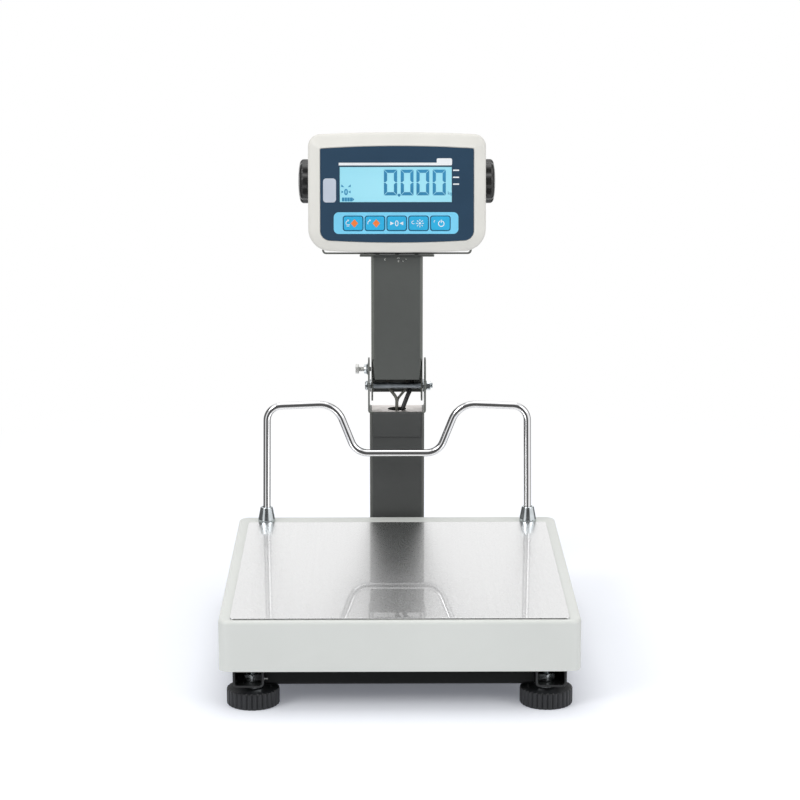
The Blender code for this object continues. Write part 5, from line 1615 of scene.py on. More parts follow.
@dataclass
class Mast:
    """The upper column, the head plate and the bail.

    A crater is given as its place across the front, how far it lies below the plate, its radius, and the
    angles that it starts and ends at.
    """

    width: float = 0.047
    depth: float = 0.028
    wall: float = 0.0015
    corner: float = 0.003
    sharp_corner: float = 0.0007
    bottom: float = 0.1805
    loft_top: float = 0.325
    front_cut: float = 0.0082
    back_cut: float = 0.0046
    dent_low: float = 0.202
    dent_high: float = 0.2235
    dent_depth: float = 0.009
    dent_width: float = 0.0021
    plate_size: Flat = (0.0676, 0.028)
    plate_corner: float = 0.001
    plate_sheet: float = 0.002
    edge: float = 0.0002
    craters: tuple[tuple[float, ...], ...] = (
        (-0.0098, 0.0046, 0.0013, 1.6, 4.2), (0.0012, 0.0044, 0.0014, 0.4, 2.9),
        (0.0016, 0.0061, 0.0006, 0.0, 5.6), (0.0056, 0.005, 0.001, 3.6, 5.6),
        (0.0086, 0.0036, 0.0009, 3.2, 5.2))
    crater_rim: float = 0.00028
    bail_half: float = 0.068
    bail_top: float = 0.008
    bail_sheet: float = 0.0015
    bail_bend: float = 0.0036
    bail_width: float = 0.008
    screw_x: float = 0.0177
    screw_head: Profile = (
        (0.0, 0.004), (0.0004, 0.004), (0.0014, 0.0036), (0.0021, 0.0026), (0.0024, 0.0014))
    screw_cross: Flat = (0.0004, 0.002)
    screw_radius: float = 0.002
    screw_length: float = 0.0045

    def section(self, z: float, wall: float) -> Ring:
        """One loop of the tube, whose front corners are stepped back low down.

        Args:
            z: The loop's height.
            wall: How far the loop lies inside the outer face.

        Returns:
            The loop.
        """
        share = min(max((self.dent_high - z) / (self.dent_high - self.dent_low), 0.0), 1.0)
        half_x, half_y = self.width / 2 - wall, self.depth / 2 - wall
        sharp = min(1.0, 4.0 * share)
        outer = self.corner * (1 - sharp) + self.sharp_corner * sharp
        front, back = max(outer - wall, GAP), max(self.corner - wall, GAP)
        drop = self.dent_depth * min(max((share - 0.12) * 3.5, 0.0), 1.0)
        points: list[Flat] = []
        for i, (sx, sy) in enumerate(((1, 1), (-1, 1), (-1, -1))):
            radius = back if sy > 0 else front
            down = drop if sy < 0 else 0.0
            points += arc((sx * (half_x - radius), sy * (half_y - radius) + down), radius, i * pi / 2,
                          (i + 1) * pi / 2, 8)
        step = half_x - outer - GAP - self.dent_width * share
        round_off = min(1.0, drop / 0.002)
        profile = [(half_x - front - 0.00005, drop), (step + 0.00015, drop), (step + 0.00005, 0.9 * drop),
                   (step, 0.0006 * round_off), (step - 0.00015, 0.00018 * round_off), (step - 0.0005, 0.0),
                   (0.015, 0.0), (0.01, 0.0), (0.005, 0.0)]
        wave = [(-x, -half_y + deep) for x, deep in profile]
        points += wave + [(0.0, -half_y)] + [(-x, y) for x, y in reversed(wave)]
        points += arc((half_x - front, -half_y + front + drop), front, 1.5 * pi, 2 * pi, 8)
        return [(x, COLUMN_Y + y, z) for x, y in points]

    def build_column(self) -> None:
        """The upper column, open low down for the pivot and cut to the head's lean."""
        heights = [self.bottom, self.dent_low - 0.002]
        heights += [self.dent_low + (self.dent_high - self.dent_low) * i / 10 for i in range(11)]
        heights.append(self.loft_top)
        rings = [self.section(z, 0.0) for z in heights]
        rings += [self.section(z, self.wall) for z in reversed(heights)]
        column = Workpiece.loft("mast_tube", rings, Ends.JOINED).done()
        half = self.width / 2 - self.wall
        front, back = COLUMN_Y - self.depth / 2, COLUMN_Y + self.depth / 2
        notch(column, (-half, front - 0.003, self.bottom - 0.01),
              (half, front + self.dent_depth + 0.0025, PIVOT_Z + self.front_cut))
        notch(column, (-half, back - 0.003, self.bottom - 0.01),
              (half, back + 0.003, self.bottom + self.back_cut))
        drill(column, PIVOT_HOLE, (-0.03, COLUMN_Y, PIVOT_Z), 0.06, "X")
        under = HEAD_PLATE_V - self.plate_sheet - GAP
        carve(column, settle(slab("cut", (-0.05, -0.04, under), (0.05, 0.04, -0.03)), HEAD))
        hand_over(column, Finish.DARK_PAINT, "mast", "upper_column")

    def build_head_plate(self) -> None:
        """The plate welded on the column's top."""
        flat = rounded_rectangle(*self.plate_size, self.plate_corner, 4)
        levels = (HEAD_PLATE_V - self.plate_sheet, HEAD_PLATE_V)
        plate = Workpiece.loft("head_sheet", [[(x, y, v) for x, y in flat] for v in levels]).done()
        drill(plate, HEAD_PLATE_HOLE, (0, 0, HEAD_PLATE_V - 0.01), 0.02)
        soften(plate, self.edge, 2, 60)
        hand_head(plate, Finish.DARK_PAINT, "mast", "head_plate")

    def build_weld(self) -> None:
        """The small bright weld craters where the column's front meets the plate."""
        y = -self.depth / 2 - NEAR
        pieces = []
        for x, low, radius, start, end in self.craters:
            rings = []
            for share in (i / 16 for i in range(17)):
                turn = start + (end - start) * share
                thick = self.crater_rim * max(sin(pi * share), 0.12)
                rings.append([(x + (radius + thick * cos(a)) * cos(turn), y + thick * sin(a),
                               HEAD_PLATE_V - low + (radius + thick * cos(a)) * sin(turn))
                              for a in (2 * pi * k / 8 for k in range(8))])
            pieces.append(Workpiece.loft("crater", rings).done())
        hand_head(weld(pieces, "weld_craters"), Finish.BRIGHT_ZINC, "mast", weighted=False)

    def build_bail(self) -> None:
        """The bent strip that the indicator swings in, with its screws."""
        strip = StripBend(self.bail_half, HEAD_PLATE_V + GAP, self.bail_top, self.bail_sheet, self.bail_bend,
                          self.bail_width, self.bail_top)
        bail = strip.build("bail_strip")
        drill(bail, SIDE_STUD_HOLE, (-0.08, 0, 0), 0.16, "X")
        drill(bail, HEAD_PLATE_HOLE, (0, 0, HEAD_PLATE_V - 0.01), 0.02)
        soften(bail, self.edge, 2, 50)
        hand_head(bail, Finish.DARK_PAINT, "mast", "bail")
        seat = HEAD_PLATE_V + self.bail_sheet + 2 * GAP
        narrow, long = self.screw_cross
        for side, sign in SIDES:
            x = sign * self.screw_x
            screw = turned("screw", self.screw_head, (x, 0, seat), "Z")
            for half_x, half_y in ((narrow, long), (long, narrow)):
                notch(screw, (x - half_x, -half_y, seat + 0.0012), (x + half_x, half_y, seat + 0.004))
            shank = threaded_rod("shank", self.screw_radius, (x, 0, seat + 0.0002), -self.screw_length, "Z",
                                 0.0007)
            screw = weld([screw, shank], f"bail_pan_screw_{side}")
            hand_head(screw, Finish.ZINC, "mast", f"bail_screw_{side}")

    def build(self) -> None:
        """Make the mast."""
        self.build_column()
        self.build_head_plate()
        self.build_weld()
        self.build_bail()


@dataclass
class Indicator:
    """The indicator's case, overlay, display and keys, all in the head's own frame.

    A step is given as how far it lies inside the outer edge and where it lies from front to back. A rectangle
    is given as its width, its height, its corners' radius, their steps and its middle.
    """

    half_width: float = 0.08
    top: float = 0.0434
    bottom: float = -0.0666
    crown: float = 0.0022
    top_corner: float = 0.011
    bottom_corner: float = 0.02
    ring_width: float = 0.0105
    lift: float = 0.002
    drop: float = 0.0016
    steps: Profile = (
        (0.0, -0.0205), (0.0, -0.0262), (0.00025, -0.0272), (0.0009, -0.0281), (0.002, -0.02875),
        (0.0038, -0.0295), (0.0075, -0.0309), (0.0092, -0.0316), (0.0099, -0.032), (0.0103, -0.03215),
        (0.0106, -0.032), (0.01075, -0.0313), (0.012, -0.0313))
    hollow: Profile = ((0.0026, -0.019), (0.0026, -0.0262), (0.0106, -0.0286))
    cutter: Flat = (-0.04, -0.024)
    face: float = -0.032
    film_inset: float = 0.0111
    film_back: float = -0.0314
    ink: float = 0.00005
    line: Flat = (0.0135, 0.0159)
    side_marks: tuple[float, ...] = (0.0091, 0.0028, -0.0033)
    strip: Panel = (0.112, 0.0194, 0.0045, 10, (-0.0009, -0.0381))
    label: Panel = (0.0116, 0.0215, 0.0028, 8, (-0.0606, -0.00885))
    display: tuple[float, float, float, float] = (-0.0517, 0.0494, -0.0196, 0.0124)
    glass: Flat = (-0.03176, -0.03165)
    digits: Profile = ((-0.0118, 0.0001), (0.0033, 0.0148), (0.0174, 0.0289), (0.032, 0.0438))
    digit_span: Flat = (-0.0133, 0.0097)
    bar_width: float = 0.0029
    point: Flat = (0.0018, -0.0131)
    point_radius: float = 0.00135
    key_v: float = -0.03835
    key_x: tuple[float, ...] = (-0.0395, -0.0199, -0.0003, 0.0193, 0.0389)
    key_names: tuple[str, ...] = ("key_tare", "key_function", "key_zero", "key_light", "key_power")
    key_size: Flat = (0.0169, 0.0123)
    key_corner: float = 0.0019
    key_steps: Profile = (
        (0.0, -0.0304), (0.0, -0.0322), (0.0002, -0.03245), (0.0006, -0.03258), (0.0016, -0.0326))
    key_ink: Flat = (-0.03264, -0.0325)
    diamond: Flat = (0.0033, 0.0037)
    diamond_shift: float = 0.0012
    key_rims: Profile = ((0.0017, 0.0025), (0.0006, 0.002))

    def outline(self, inset: float) -> list[Flat]:
        """The bezel's front view, moved in from its outer edge, with a narrower ring below.

        Args:
            inset: How far it lies inside the outer edge.

        Returns:
            The outline.
        """
        share = min(1.0, inset / self.ring_width)
        half = self.half_width - inset
        top = self.top - inset - self.drop * share
        bottom = self.bottom + inset + self.lift * (1.0 - share)
        middles = [i / 8 for i in range(-5, 6)]
        rise = [(-x * half, top - self.crown * x * x) for x in middles]
        fall = [(x * half, bottom + self.crown * x * x) for x in middles]
        corners = [(half, bottom + self.crown), (half, top - self.crown)]
        mirrored = [(-x, z) for x, z in reversed(corners)]
        points = corners + rise + mirrored + fall
        low = max(self.bottom_corner - inset, 0.004)
        high = max(self.top_corner - inset, 0.0015)
        radii = [low, high] + [0] * len(rise) + [high, low] + [0] * len(fall)
        return [(x, z) for x, z, _ in filleted([(x, z, 0.0) for x, z in points], radii, 14, True)]

    def rings(self, steps: Sequence[Flat]) -> list[Ring]:
        """The outline at several insets and depths."""
        return [[(x, y, v) for x, v in self.outline(inset)] for inset, y in steps]

    def face_plate(self, name: str, flat: Sequence[Flat], front: float, back: float) -> Thing:
        """An outline across the face, given a thickness."""
        return Workpiece.loft(name, [[(x, y, v) for x, v in flat] for y in (front, back)]).done()

    def printed(self, name: str, flat: Sequence[Flat], extra: float = 0.0) -> Thing:
        """An outline printed on the face."""
        return self.face_plate(name, flat, self.face - self.ink - extra, self.face + self.ink)

    def key_openings(self) -> list[Thing]:
        """Make cutters for the keys.

        Returns:
            The cutters.
        """
        half_x, half_v = (size / 2 + GAP for size in self.key_size)
        front, back = self.cutter
        made = []
        for x in self.key_x:
            work = Workpiece.block("cut", (x - half_x, front, self.key_v - half_v),
                                   (x + half_x, back, self.key_v + half_v))
            work.pick_edges(lambda a, b: abs(a.y - b.y) > (back - front) / 2)
            work.bevel(self.key_corner, 5)
            made.append(work.done())
        return made

    def display_opening(self) -> Thing:
        """A cutter for the display."""
        left, right, low, high = self.display
        return slab("cut", (left, self.cutter[0], low), (right, self.cutter[1], high))

    def build_bezel(self) -> None:
        """The front of the case: a soft rim, a sloping ring and a flat field."""
        shell = Workpiece.loft("bezel_shell", self.rings(self.steps)).done()
        hollow = Workpiece.loft("cut", self.rings(self.hollow)).done()
        carve(shell, hollow, self.display_opening(), *self.key_openings())
        hand_head(shell, Finish.CASE_PLASTIC, "indicator", "front_bezel")

    def build_overlay(self) -> None:
        """The navy film over the front field."""
        film = self.face_plate("panel_film", self.outline(self.film_inset), self.face, self.film_back)
        carve(film, self.display_opening(), *self.key_openings())
        soften(film, NEAR, 2, 60)
        hand_head(film, Finish.NAVY, "indicator", "keypad_overlay")

    def build_print(self) -> None:
        """The white line over the display, the key strip and the plain marks."""
        low, high = self.line
        line = [(-0.0523, low)] + arc((0.0482, low + 0.0012), 0.0012, 1.5 * pi, 2 * pi, 5)
        line += arc((0.048, 0.0184), 0.0014, 0.0, pi / 2, 5) + arc((0.037, 0.0184), 0.0014, pi / 2, pi, 5)
        line += [(0.0356, high), (-0.0523, high)]
        marks = [rounded_rectangle(0.0055, 0.0012, 0.0003, 3, (0.053, v)) for v in self.side_marks]
        ink = weld([self.printed("ink", flat) for flat in [line] + marks], "panel_ink")
        hand_head(ink, Finish.WHITE_INK, "indicator", weighted=False)
        strip = self.printed("key_strip", rounded_rectangle(*self.strip), TOUCH)
        carve(strip, *self.key_openings())
        hand_head(strip, Finish.STRIP, "indicator", weighted=False)
        label = self.printed("panel_label", rounded_rectangle(*self.label))
        hand_head(label, Finish.LABEL, "indicator", weighted=False)

    def mark(self, flat: Sequence[Flat]) -> Thing:
        """A thin form lying on the display's glass."""
        return self.face_plate("ink", flat, *self.glass)

    def digit(self, left: float, right: float) -> list[list[Flat]]:
        """A seven-segment zero: six mitred bars with fine gaps between them.

        Args:
            left: Its left edge.
            right: Its right edge.

        Returns:
            The outlines of the bars.
        """
        wide, gap = self.bar_width, GAP
        low, high = self.digit_span
        middle = (low + high) / 2
        bars = []
        for edge, way in ((high, -1), (low, 1)):
            bars.append([(left + gap, edge), (right - gap, edge), (right - wide - gap, edge + way * wide),
                         (left + wide + gap, edge + way * wide)])
        for edge, way in ((left, 1), (right, -1)):
            for end, turn in ((high, -1), (low, 1)):
                bars.append([(edge, end + turn * gap), (edge + way * wide, end + turn * (wide + gap)),
                             (edge + way * wide, middle - turn * (wide / 2 + gap)),
                             (edge + way * wide / 2, middle - turn * gap), (edge, middle - turn * gap)])
        return bars

    def build_digits(self) -> None:
        """Four zeros and a point, in seven-segment style."""
        flats = [bar for left, right in self.digits for bar in self.digit(left, right)]
        flats.append(arc(self.point, self.point_radius, 0.0, 2 * pi, 20)[:-1])
        ink = weld([self.mark(flat) for flat in flats], "display_digits")
        hand_head(ink, Finish.SEGMENT, "indicator", weighted=False)

    def build_signs(self) -> None:
        """The small signs at the display's edges: level, zero, charge and unit."""
        flats = [[(-0.05, -0.0034), (-0.05, -0.0058), (-0.0474, -0.0058)],
                 [(-0.0416, -0.0034), (-0.0442, -0.0058), (-0.0416, -0.0058)],
                 stroke(moved(open_ring(0.0011, 0.0023), -0.0458, -0.0102), 0.0006),
                 [(-0.0499, -0.0089), (-0.0479, -0.0102), (-0.0499, -0.0115)],
                 [(-0.0417, -0.0089), (-0.0437, -0.0102), (-0.0417, -0.0115)]]
        flats += [rounded_rectangle(0.0021, 0.0034, 0.0002, 2, (-0.0484 + 0.0024 * i, -0.0169))
                  for i in range(4)]
        flats += [[(-0.04, -0.0185), (-0.0384, -0.0169), (-0.04, -0.0153)],
                  stroke([(0.0459, -0.0098), (0.0459, -0.0126)], 0.00022),
                  stroke([(0.0472, -0.0108), (0.0461, -0.0116), (0.0473, -0.0126)], 0.00022),
                  stroke(arc((0.0484, -0.0118), 0.0007, 0.0, 1.9 * pi, 14), 0.0002),
                  stroke([(0.0492, -0.011), (0.0492, -0.0134), (0.048, -0.0137)], 0.0002)]
        ink = weld([self.mark(flat) for flat in flats], "display_signs")
        hand_head(ink, Finish.SEGMENT, "indicator", weighted=False)

    def key_signs(self, number: int) -> list[list[Flat]]:
        """White outlines printed on a key, about its middle.

        Args:
            number: Which key, counted from the left.

        Returns:
            The outlines.
        """
        bow = arc((-0.0042, 0.0002), 0.0022, 0.55 * pi, 1.15 * pi, 8)
        hook = [stroke(bow, 0.00028), [(-0.0036, 0.0031), (-0.0052, 0.0034), (-0.0044, 0.0017)]]
        if number == 0:
            return hook + [stroke([(-0.006, -0.0012), (-0.003, -0.0012)], 0.00028),
                           stroke([(-0.0058, -0.0024), (-0.0036, -0.0024)], 0.00028)]
        if number == 1:
            return hook
        if number == 2:
            return [stroke(open_ring(0.0012, 0.0023), 0.00034),
                    [(-0.0058, 0.0016), (-0.0026, 0.0), (-0.0058, -0.0016)],
                    [(0.0058, 0.0016), (0.0026, 0.0), (0.0058, -0.0016)]]
        if number == 3:
            rays = [stroke([(0.0012 + r * cos(a), r * sin(a)) for r in (0.0019, 0.0036)], 0.0003)
                    for a in (2 * pi * i / 8 for i in range(8))]
            moon = arc((-0.0048, 0.0008), 0.0013, 0.35 * pi, 1.75 * pi, 12)
            return rays + [arc((0.0012, 0.0), 0.001, 0.0, 2 * pi, 16)[:-1], stroke(moon, 0.00024)]
        bow = arc((0.0008, -0.0003), 0.0025, 0.62 * pi, 2.38 * pi, 24)
        tick = arc((-0.004, 0.0012), 0.0017, 0.65 * pi, 1.1 * pi, 6)
        return [stroke(bow, 0.00034), stroke([(0.0008, 0.0004), (0.0008, 0.0032)], 0.00034),
                stroke(tick, 0.00024)]

    def build_key_print(self) -> None:
        """The signs on the keys, and a dark line round each key."""
        wide, high = self.key_size
        side, tip = self.diamond
        top, low = self.face - NEAR, self.face + self.ink
        for number, (name, x) in enumerate(zip(self.key_names, self.key_x)):
            pieces = [self.face_plate("ink", moved(flat, x, self.key_v), *self.key_ink)
                      for flat in self.key_signs(number)]
            hand_head(weld(pieces, f"{name}_signs"), Finish.WHITE_INK, name, weighted=False)
            if number < 2:
                corners = [(side, 0.0), (0.0, tip), (-side, 0.0), (0.0, -tip)]
                sign = self.face_plate(f"{name}_diamond", moved(corners, x + self.diamond_shift, self.key_v),
                                       *self.key_ink)
                hand_head(sign, Finish.ORANGE, name, weighted=False)
            outer, inner = (rounded_rectangle(wide + more, high + more, corner, 6, (x, self.key_v))
                            for more, corner in self.key_rims)
            rings = [[(a, y, v) for a, v in flat]
                     for flat, y in ((outer, low), (outer, top), (inner, top), (inner, low))]
            line = Workpiece.loft(f"{name}_line", rings, Ends.JOINED).done()
            hand_head(line, Finish.KEY_LINE, "indicator", weighted=False)

    def build_keys(self) -> None:
        """The five keys, each on a body of its own."""
        wide, high = self.key_size
        for name, x in zip(self.key_names, self.key_x):
            rings = []
            for inset, y in self.key_steps:
                flat = rounded_rectangle(wide - 2 * inset, high - 2 * inset, self.key_corner - 0.6 * inset, 6,
                                         (x, self.key_v))
                rings.append([(a, y, v) for a, v in flat])
            hand_head(Workpiece.loft(f"{name}_cap", rings).done(), Finish.KEY, name, name)

    def build(self) -> None:
        """Make the indicator."""
        self.build_bezel()
        self.build_overlay()
        self.build_print()
        self.build_digits()
        self.build_signs()
        self.build_keys()
        self.build_key_print()
        dress_nodes(Finish.DISPLAY, "display_window")
        dress_nodes(Finish.MODULE, "display_module")
        dress_nodes(Finish.BOARD, "main_board")
        dress_nodes(Finish.KNOB_PLASTIC, "battery", "cable_gland", "dc_socket")


@dataclass
class Housing:
    """The rear of the case with its battery door."""

    half: float = 0.0662
    wall: float = 0.0025
    edge: float = 0.004
    front: float = -0.0202
    line: Profile = (
        (-0.0202, 0.038), (-0.0202, -0.055), (0.012, -0.055), (0.035, -0.03), (0.035, 0.028), (0.018, 0.038))
    door_mouth: tuple[Point, Point] = ((-0.0523, 0.03375, -0.0233), (0.0523, 0.04, 0.0213))
    socket_mouth: tuple[Point, Point] = ((0.0312, -0.0048, -0.06), (0.0408, 0.0048, -0.05))
    cable_mouth: float = 0.0024
    door: tuple[Point, Point] = ((-0.052, 0.03405, -0.023), (0.052, 0.035, 0.021))
    door_corner: float = 0.001
    grip_half: Flat = (0.008, 0.0005)
    grip_floor: float = 0.0346
    grip_step: float = 0.0022

    def build_shell(self) -> None:
        """The shell: a bevelled prism, hollow, with its openings."""
        rings = [[(x, y, v) for y, v in self.line] for x in (-self.half, self.half)]
        work = Workpiece.loft("rear_shell", rings)
        work.pick_edges(lambda a, b: not (abs(a.y - self.front) < TOUCH and abs(b.y - self.front) < TOUCH))
        work.bevel(self.edge, 6)
        work.remove_faces(lambda middle, normal: abs(middle.y - self.front) < TOUCH)
        shell = work.done()
        add_modifier(shell, "SOLIDIFY", thickness=self.wall, offset=-1.0, use_even_offset=True)
        notch(shell, *self.door_mouth)
        drill(shell, SIDE_STUD_HOLE, (-0.08, 0, 0), 0.16, "X")
        drill(shell, self.cable_mouth, (0, 0, -0.06), 0.01)
        notch(shell, *self.socket_mouth)
        hand_head(shell, Finish.CASE_PLASTIC, "indicator", "rear_housing")

    def build_door(self) -> None:
        """The battery door with its finger grips."""
        low, high = self.door
        work = Workpiece.block("battery_lid", low, high)
        work.pick_edges(lambda a, b: abs(a.y - b.y) > 0.0005)
        work.bevel(self.door_corner, 3)
        work.pick_edges(lambda a, b: min(a.y, b.y) > high[1] - TOUCH)
        work.bevel(GAP, 2)
        door = work.done()
        half_x, half_v = self.grip_half
        for v in (high[2] - i * self.grip_step for i in range(2, 6)):
            notch(door, (-half_x, self.grip_floor, v - half_v), (half_x, 0.036, v + half_v))
        hand_head(door, Finish.CASE_PLASTIC, "indicator", "battery_door")

    def build(self) -> None:
        """Make the housing."""
        self.build_shell()
        self.build_door()


@dataclass
class Knobs:
    """The two lobed knobs that clamp the indicator in its bail.

    A ring is given as its distance from the head's inner or outer face, how far it lies inside the radius,
    and how much of the lobes it shows.
    """

    radius: float = 0.02
    outer: float = 0.0895
    thickness: float = 0.0125
    hub_radius: float = 0.011
    seat: float = 0.0683
    lobes: int = 8
    lobe_steps: int = 14
    lobe_depth: float = 0.0017
    lobe_sharpness: float = 2.2
    inner_rings: Points = ((0.0, 0.003, 0.5), (0.0004, 0.001, 1.0), (0.0015, 0.0, 1.0))
    outer_rings: Points = (
        (0.0046, 0.0, 1.0), (0.0034, 0.0004, 1.0), (0.0024, 0.0013, 0.9), (0.0017, 0.0026, 0.7),
        (0.0013, 0.004, 0.4), (0.0006, 0.008, 0.0), (0.0002, 0.013, 0.0), (0.0, 0.017, 0.0))
    stud_radius: float = 0.003
    stud_length: float = 0.014
    stud_pitch: float = 0.001

    def build_head(self) -> Thing:
        """Make the right knob's head.

        Returns:
            The object.
        """
        inner = self.outer - self.thickness
        levels = [(self.seat, self.hub_radius, 0.0), (inner, self.hub_radius, 0.0)]
        for face, way, table in ((inner, 1, self.inner_rings), (self.outer, -1, self.outer_rings)):
            levels += [(face + way * along, self.radius - inset, share) for along, inset, share in table]
        rings = []
        for along, radius, share in levels:
            flat = lobed_circle(self.lobes, self.lobe_steps, radius, share * self.lobe_depth,
                                self.lobe_sharpness)
            rings.append([(along, y, z) for y, z in flat])
        return Workpiece.loft("knob", rings).done()

    def build(self) -> None:
        """Make one knob and mirror it."""
        knob = self.build_head()
        stud = threaded_rod("stud", self.stud_radius, (self.seat, 0, 0), -self.stud_length, "X",
                            self.stud_pitch)
        for side, sign in SIDES:
            turn = HEAD @ Matrix.Scale(sign, 4, (1, 0, 0))
            body = f"knob_{side}"
            hand_over(twin(knob, f"knob_head_{side}", turn), Finish.KNOB_PLASTIC, body, body)
            hand_over(twin(stud, f"knob_stud_{side}", turn), Finish.ZINC, body)
        for model in (knob, stud):
            bpy.data.objects.remove(model, do_unlink=True)


@dataclass
class Cables:
    """The cable from the load cell through both columns to the indicator, and two thin leads in the hinge."""

    radius: float = 0.002
    cell_points: Points = (
        (0, .0301, .0456), (0, .0501, .0456), (0, .0828, .0462), (0, .1008, .0457), (0, .1128, .0392),
        (0, .1203, .0297), (0, .1298, .026), (0, .1398, .0255), (0, .1478, .0295), (0, .1528, .0415),
        (0, .1528, .1102), (0, .1528, .1502))
    hinge_points: Points = (
        (0, .1528, .1511), (.002, .1528, .1611), (.0055, .1508, .173), (.0095, .1548, .183),
        (.0135, .1588, .1928), (.0125, .1588, .2078), (.005, .1548, .2238), (0, .1528, .2378),
        (0, .1528, .2688), (0, .1528, .3027))
    leads: dict[str, tuple[Points, float]] = field(default_factory=lambda: {
        "left": (((-.0005, .1535, .15), (-.0005, .1535, .164), (-.0002, .153, .1745),
                  (-.0006, .1545, .1815), (-.0045, .1585, .1865), (-.0075, .16, .1905),
                  (-.0085, .16, .199), (-.006, .1595, .22), (-.004, .159, .238)), 0.00145),
        "right": (((.0004, .156, .15), (.0004, .156, .164), (.0002, .1558, .174),
                   (.0008, .157, .18), (.0048, .159, .185), (.008, .16, .1895),
                   (.0088, .1602, .198), (.007, .16, .218), (.005, .1595, .238)), 0.0012)})
    fold: Flat = (0.176, 0.226)
    head_stations: tuple[float, ...] = (-0.0784, -0.0665, -0.055, -0.0525)
    spacing: float = 0.0025
    cell_spacing: float = 0.004

    def lead(self, name: str, points: Sequence[Point], radius: float, spacing: float,
             sides: int = 16) -> Thing:
        """A round cable along its points."""
        return Workpiece.loft(name, tube_rings(smooth_route(points, spacing), radius, sides)).done()

    def build(self) -> None:
        """Make the three stretches and the two thin leads."""
        cell = self.lead("cell_lead", self.cell_points, self.radius, self.cell_spacing)
        hand_over(cell, Finish.JACKET, "base", "cell_cable", weighted=False)
        fold = ("base", "mast"), *((0, COLUMN_Y, z) for z in self.fold)
        hinge = self.lead("hinge_lead", self.hinge_points, self.radius, self.spacing)
        hand_across(hinge, Finish.JACKET, *fold, "hinge_cable")
        for side, (points, radius) in self.leads.items():
            hand_across(self.lead(f"thin_lead_{side}", points, radius, self.spacing, 14), Finish.LEAD, *fold)
        low, start, end, high = (tuple(HEAD @ Vector((0, 0, v))) for v in self.head_stations)
        head = self.lead("head_lead", [low, start, high], self.radius, self.spacing)
        hand_across(head, Finish.JACKET, ("mast", "indicator"), start, end, "head_cable")


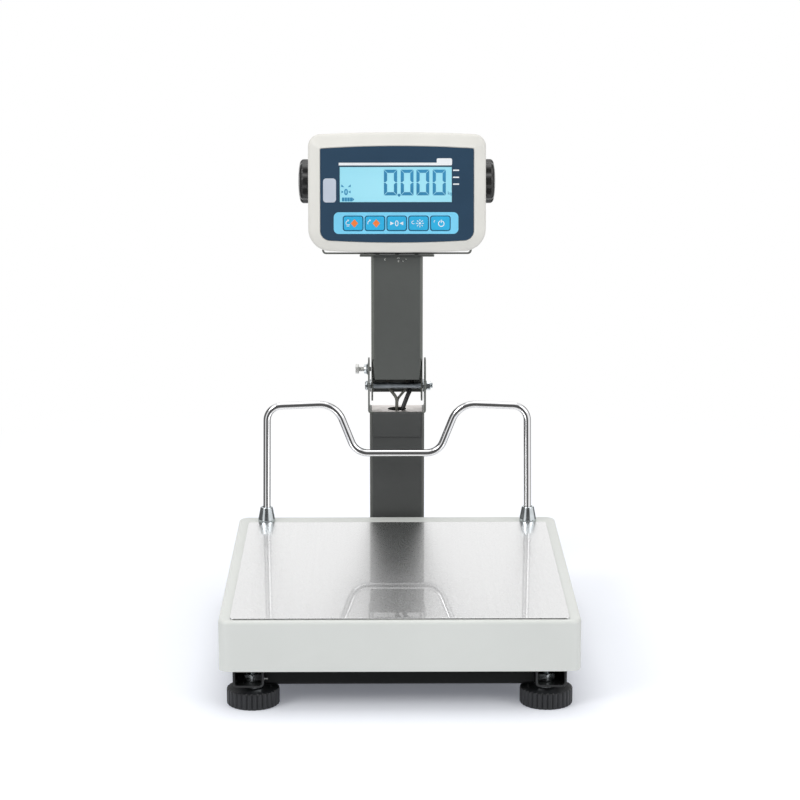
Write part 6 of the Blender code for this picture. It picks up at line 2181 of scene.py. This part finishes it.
@dataclass
class Studio:
    """The floor, the lamps, the sky and the camera."""

    paper: tuple[float, ...] = (0.86, 0.875, 0.91, 1.0)
    lift: tuple[float, ...] = (0.84, 0.88, 1.0, 1.0)
    lift_level: float = 0.16
    eye: Point = (-0.015, -2.1182, 0.659)
    pitch: float = 11.91
    yaw: float = -0.45
    lens: float = 113.175
    sky: float = 0.7
    sheet_start: float = 0.45
    sheet_end: float = 0.95
    mirror_start: float = 0.24
    mirror_end: float = 0.34
    flags: tuple[tuple[float, float], ...] = (
        (-180.0, 1.0), (-150.0, 1.0), (-138.0, 0.14), (-60.0, 0.14), (-52.0, 1.0), (-31.0, 1.0),
        (-25.0, 0.1), (25.0, 0.1), (31.0, 1.0), (100.0, 1.0), (108.0, 0.16), (140.0, 0.16),
        (152.0, 1.0), (180.0, 1.0))
    flag_tops: tuple[float, float] = (32.0, 50.0)
    lamps: tuple[tuple[str, Point, float, float, Point], ...] = (
        ("lamp_left", (-1.9, -1.8, 1.9), 1.3, 26.0, (0, 0, 0.15)),
        ("lamp_right", (2.1, -1.5, 1.5), 1.5, 14.0, (0, 0, 0.2)),
        ("lamp_top", (0.0, 0.3, 2.6), 1.8, 16.0, (0, 0, 0.0)))

    def build_camera(self) -> None:
        """The camera at the photograph's place."""
        data = bpy.data.cameras.new("camera")
        data.lens = self.lens
        data.sensor_width = 36.0
        data.clip_end = 200.0
        camera = bpy.data.objects.new("camera", data)
        camera.location = self.eye
        camera.rotation_euler = Euler((radians(90 - self.pitch), 0.0, radians(self.yaw)))
        bpy.context.scene.collection.objects.link(camera)
        bpy.context.scene.camera = camera

    def build_floor(self) -> None:
        """A broad pale floor that takes the shadow."""
        drop_selection()
        bpy.ops.mesh.primitive_plane_add(size=80.0, location=(0, 0, 0))
        floor = bpy.context.active_object
        floor.name = "floor"
        material = bpy.data.materials.new("floor_sheet")
        material.use_nodes = True
        wiring = Wiring(material.node_tree)
        for node in list(wiring.tree.nodes):
            wiring.tree.nodes.remove(node)
        paper = wiring.add("BsdfDiffuse", {"Color": self.paper}).outputs[0]
        light = wiring.add("Emission", {"Color": self.lift, "Strength": self.lift_level}).outputs[0]
        white = wiring.add("Emission", {"Color": WHITE, "Strength": 1.0}).outputs[0]
        clear = wiring.add("BsdfTransparent").outputs[0]
        seen = wiring.add("LightPath").outputs
        mirrored = seen["Is Glossy Ray"]
        place = wiring.add("TexCoord").outputs["Object"]
        reach = wiring.add("VectorMath", {0: place}, operation="LENGTH").outputs["Value"]
        share = wiring.between(mirrored, wiring.spread(reach, 0.0, 1.0, self.sheet_start, self.sheet_end),
                               wiring.spread(reach, 0.0, 1.0, self.mirror_start, self.mirror_end))
        close = wiring.add("AddShader", {0: paper, 1: light}).outputs[0]
        far = wiring.add("MixShader", {"Fac": mirrored, 1: white, 2: clear}).outputs[0]
        sheet = wiring.add("MixShader", {"Fac": share, 1: close, 2: far}).outputs[0]
        direct = wiring.math("MAXIMUM", seen["Is Camera Ray"], mirrored)
        choice = wiring.add("MixShader", {"Fac": direct, 1: paper, 2: sheet}).outputs[0]
        wiring.add("OutputMaterial", {"Surface": choice})
        floor.data.materials.append(material)

    def build_sky(self) -> None:
        """A white surround for the camera and for reflections, and a plain level for the rest."""
        world = bpy.data.worlds.new("studio")
        bpy.context.scene.world = world
        world.use_nodes = True
        wiring = Wiring(world.node_tree)
        background = next(n for n in wiring.tree.nodes if n.type == "BACKGROUND")
        seen = wiring.add("LightPath").outputs
        direct = wiring.math("MAXIMUM", seen["Is Camera Ray"], seen["Is Glossy Ray"])
        through = wiring.math("MAXIMUM", direct, seen["Is Transmission Ray"])
        level = wiring.spread(through, self.sky, 1.0, 0.0, 1.0)
        shade = wiring.between(seen["Is Glossy Ray"], 1.0, self.flag_level(wiring))
        wiring.feed(background, {"Color": WHITE, "Strength": wiring.math("MULTIPLY", level, shade)})

    def flag_level(self, wiring: Wiring) -> Socket:
        """Dark cloths between the soft lamps, upright round the object, that only mirrors see.

        Args:
            wiring: The world's node tree.

        Returns:
            The level of what a mirror sees, from 0 to 1.
        """
        way = wiring.add("SeparateXYZ", {0: wiring.add("TexCoord").outputs["Generated"]}).outputs
        turn = wiring.math("ARCTAN2", way["X"], wiring.math("MULTIPLY", way["Y"], -1.0))
        stops = [((angle + 180.0) / 360.0, (level, level, level)) for angle, level in self.flags]
        cloths = wiring.ramp(wiring.spread(turn, 0.0, 1.0, -pi, pi), stops)
        low, high = (sin(radians(angle)) for angle in self.flag_tops)
        return wiring.math("MAXIMUM", cloths, wiring.spread(way["Z"], 0.0, 1.0, low, high))

    def build_lamp(self, name: str, place: Point, size: float, power: float, aim: Point) -> None:
        """One square soft lamp, aimed at a point.

        Args:
            name: Its name.
            place: Where it hangs.
            size: How wide it is.
            power: Its power in watts.
            aim: The point that it looks at.
        """
        data = bpy.data.lights.new(name, "AREA")
        data.shape = "SQUARE"
        data.size = size
        data.energy = power
        lamp = bpy.data.objects.new(name, data)
        lamp.location = place
        lamp.rotation_euler = (Vector(aim) - Vector(place)).to_track_quat("-Z", "Y").to_euler()
        bpy.context.scene.collection.objects.link(lamp)

    def build(self) -> None:
        """Set the studio up."""
        bpy.context.scene.view_settings.view_transform = "Standard"
        self.build_camera()
        self.build_floor()
        self.build_sky()
        for lamp in self.lamps:
            self.build_lamp(*lamp)


def main() -> None:
    """Build the scale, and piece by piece."""
    logging.basicConfig(level=logging.INFO, format="%(message)s")
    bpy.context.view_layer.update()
    for part in (Studio(), LevellingFeet(), BaseFrame(), Platform(), Guard(), Column(), Hinge(), Mast(),
                 Indicator(), Housing(), Knobs(), Cables()):
        LOG.info("building %s", type(part).__name__)
        part.build()


if __name__ == "__main__":
    main()
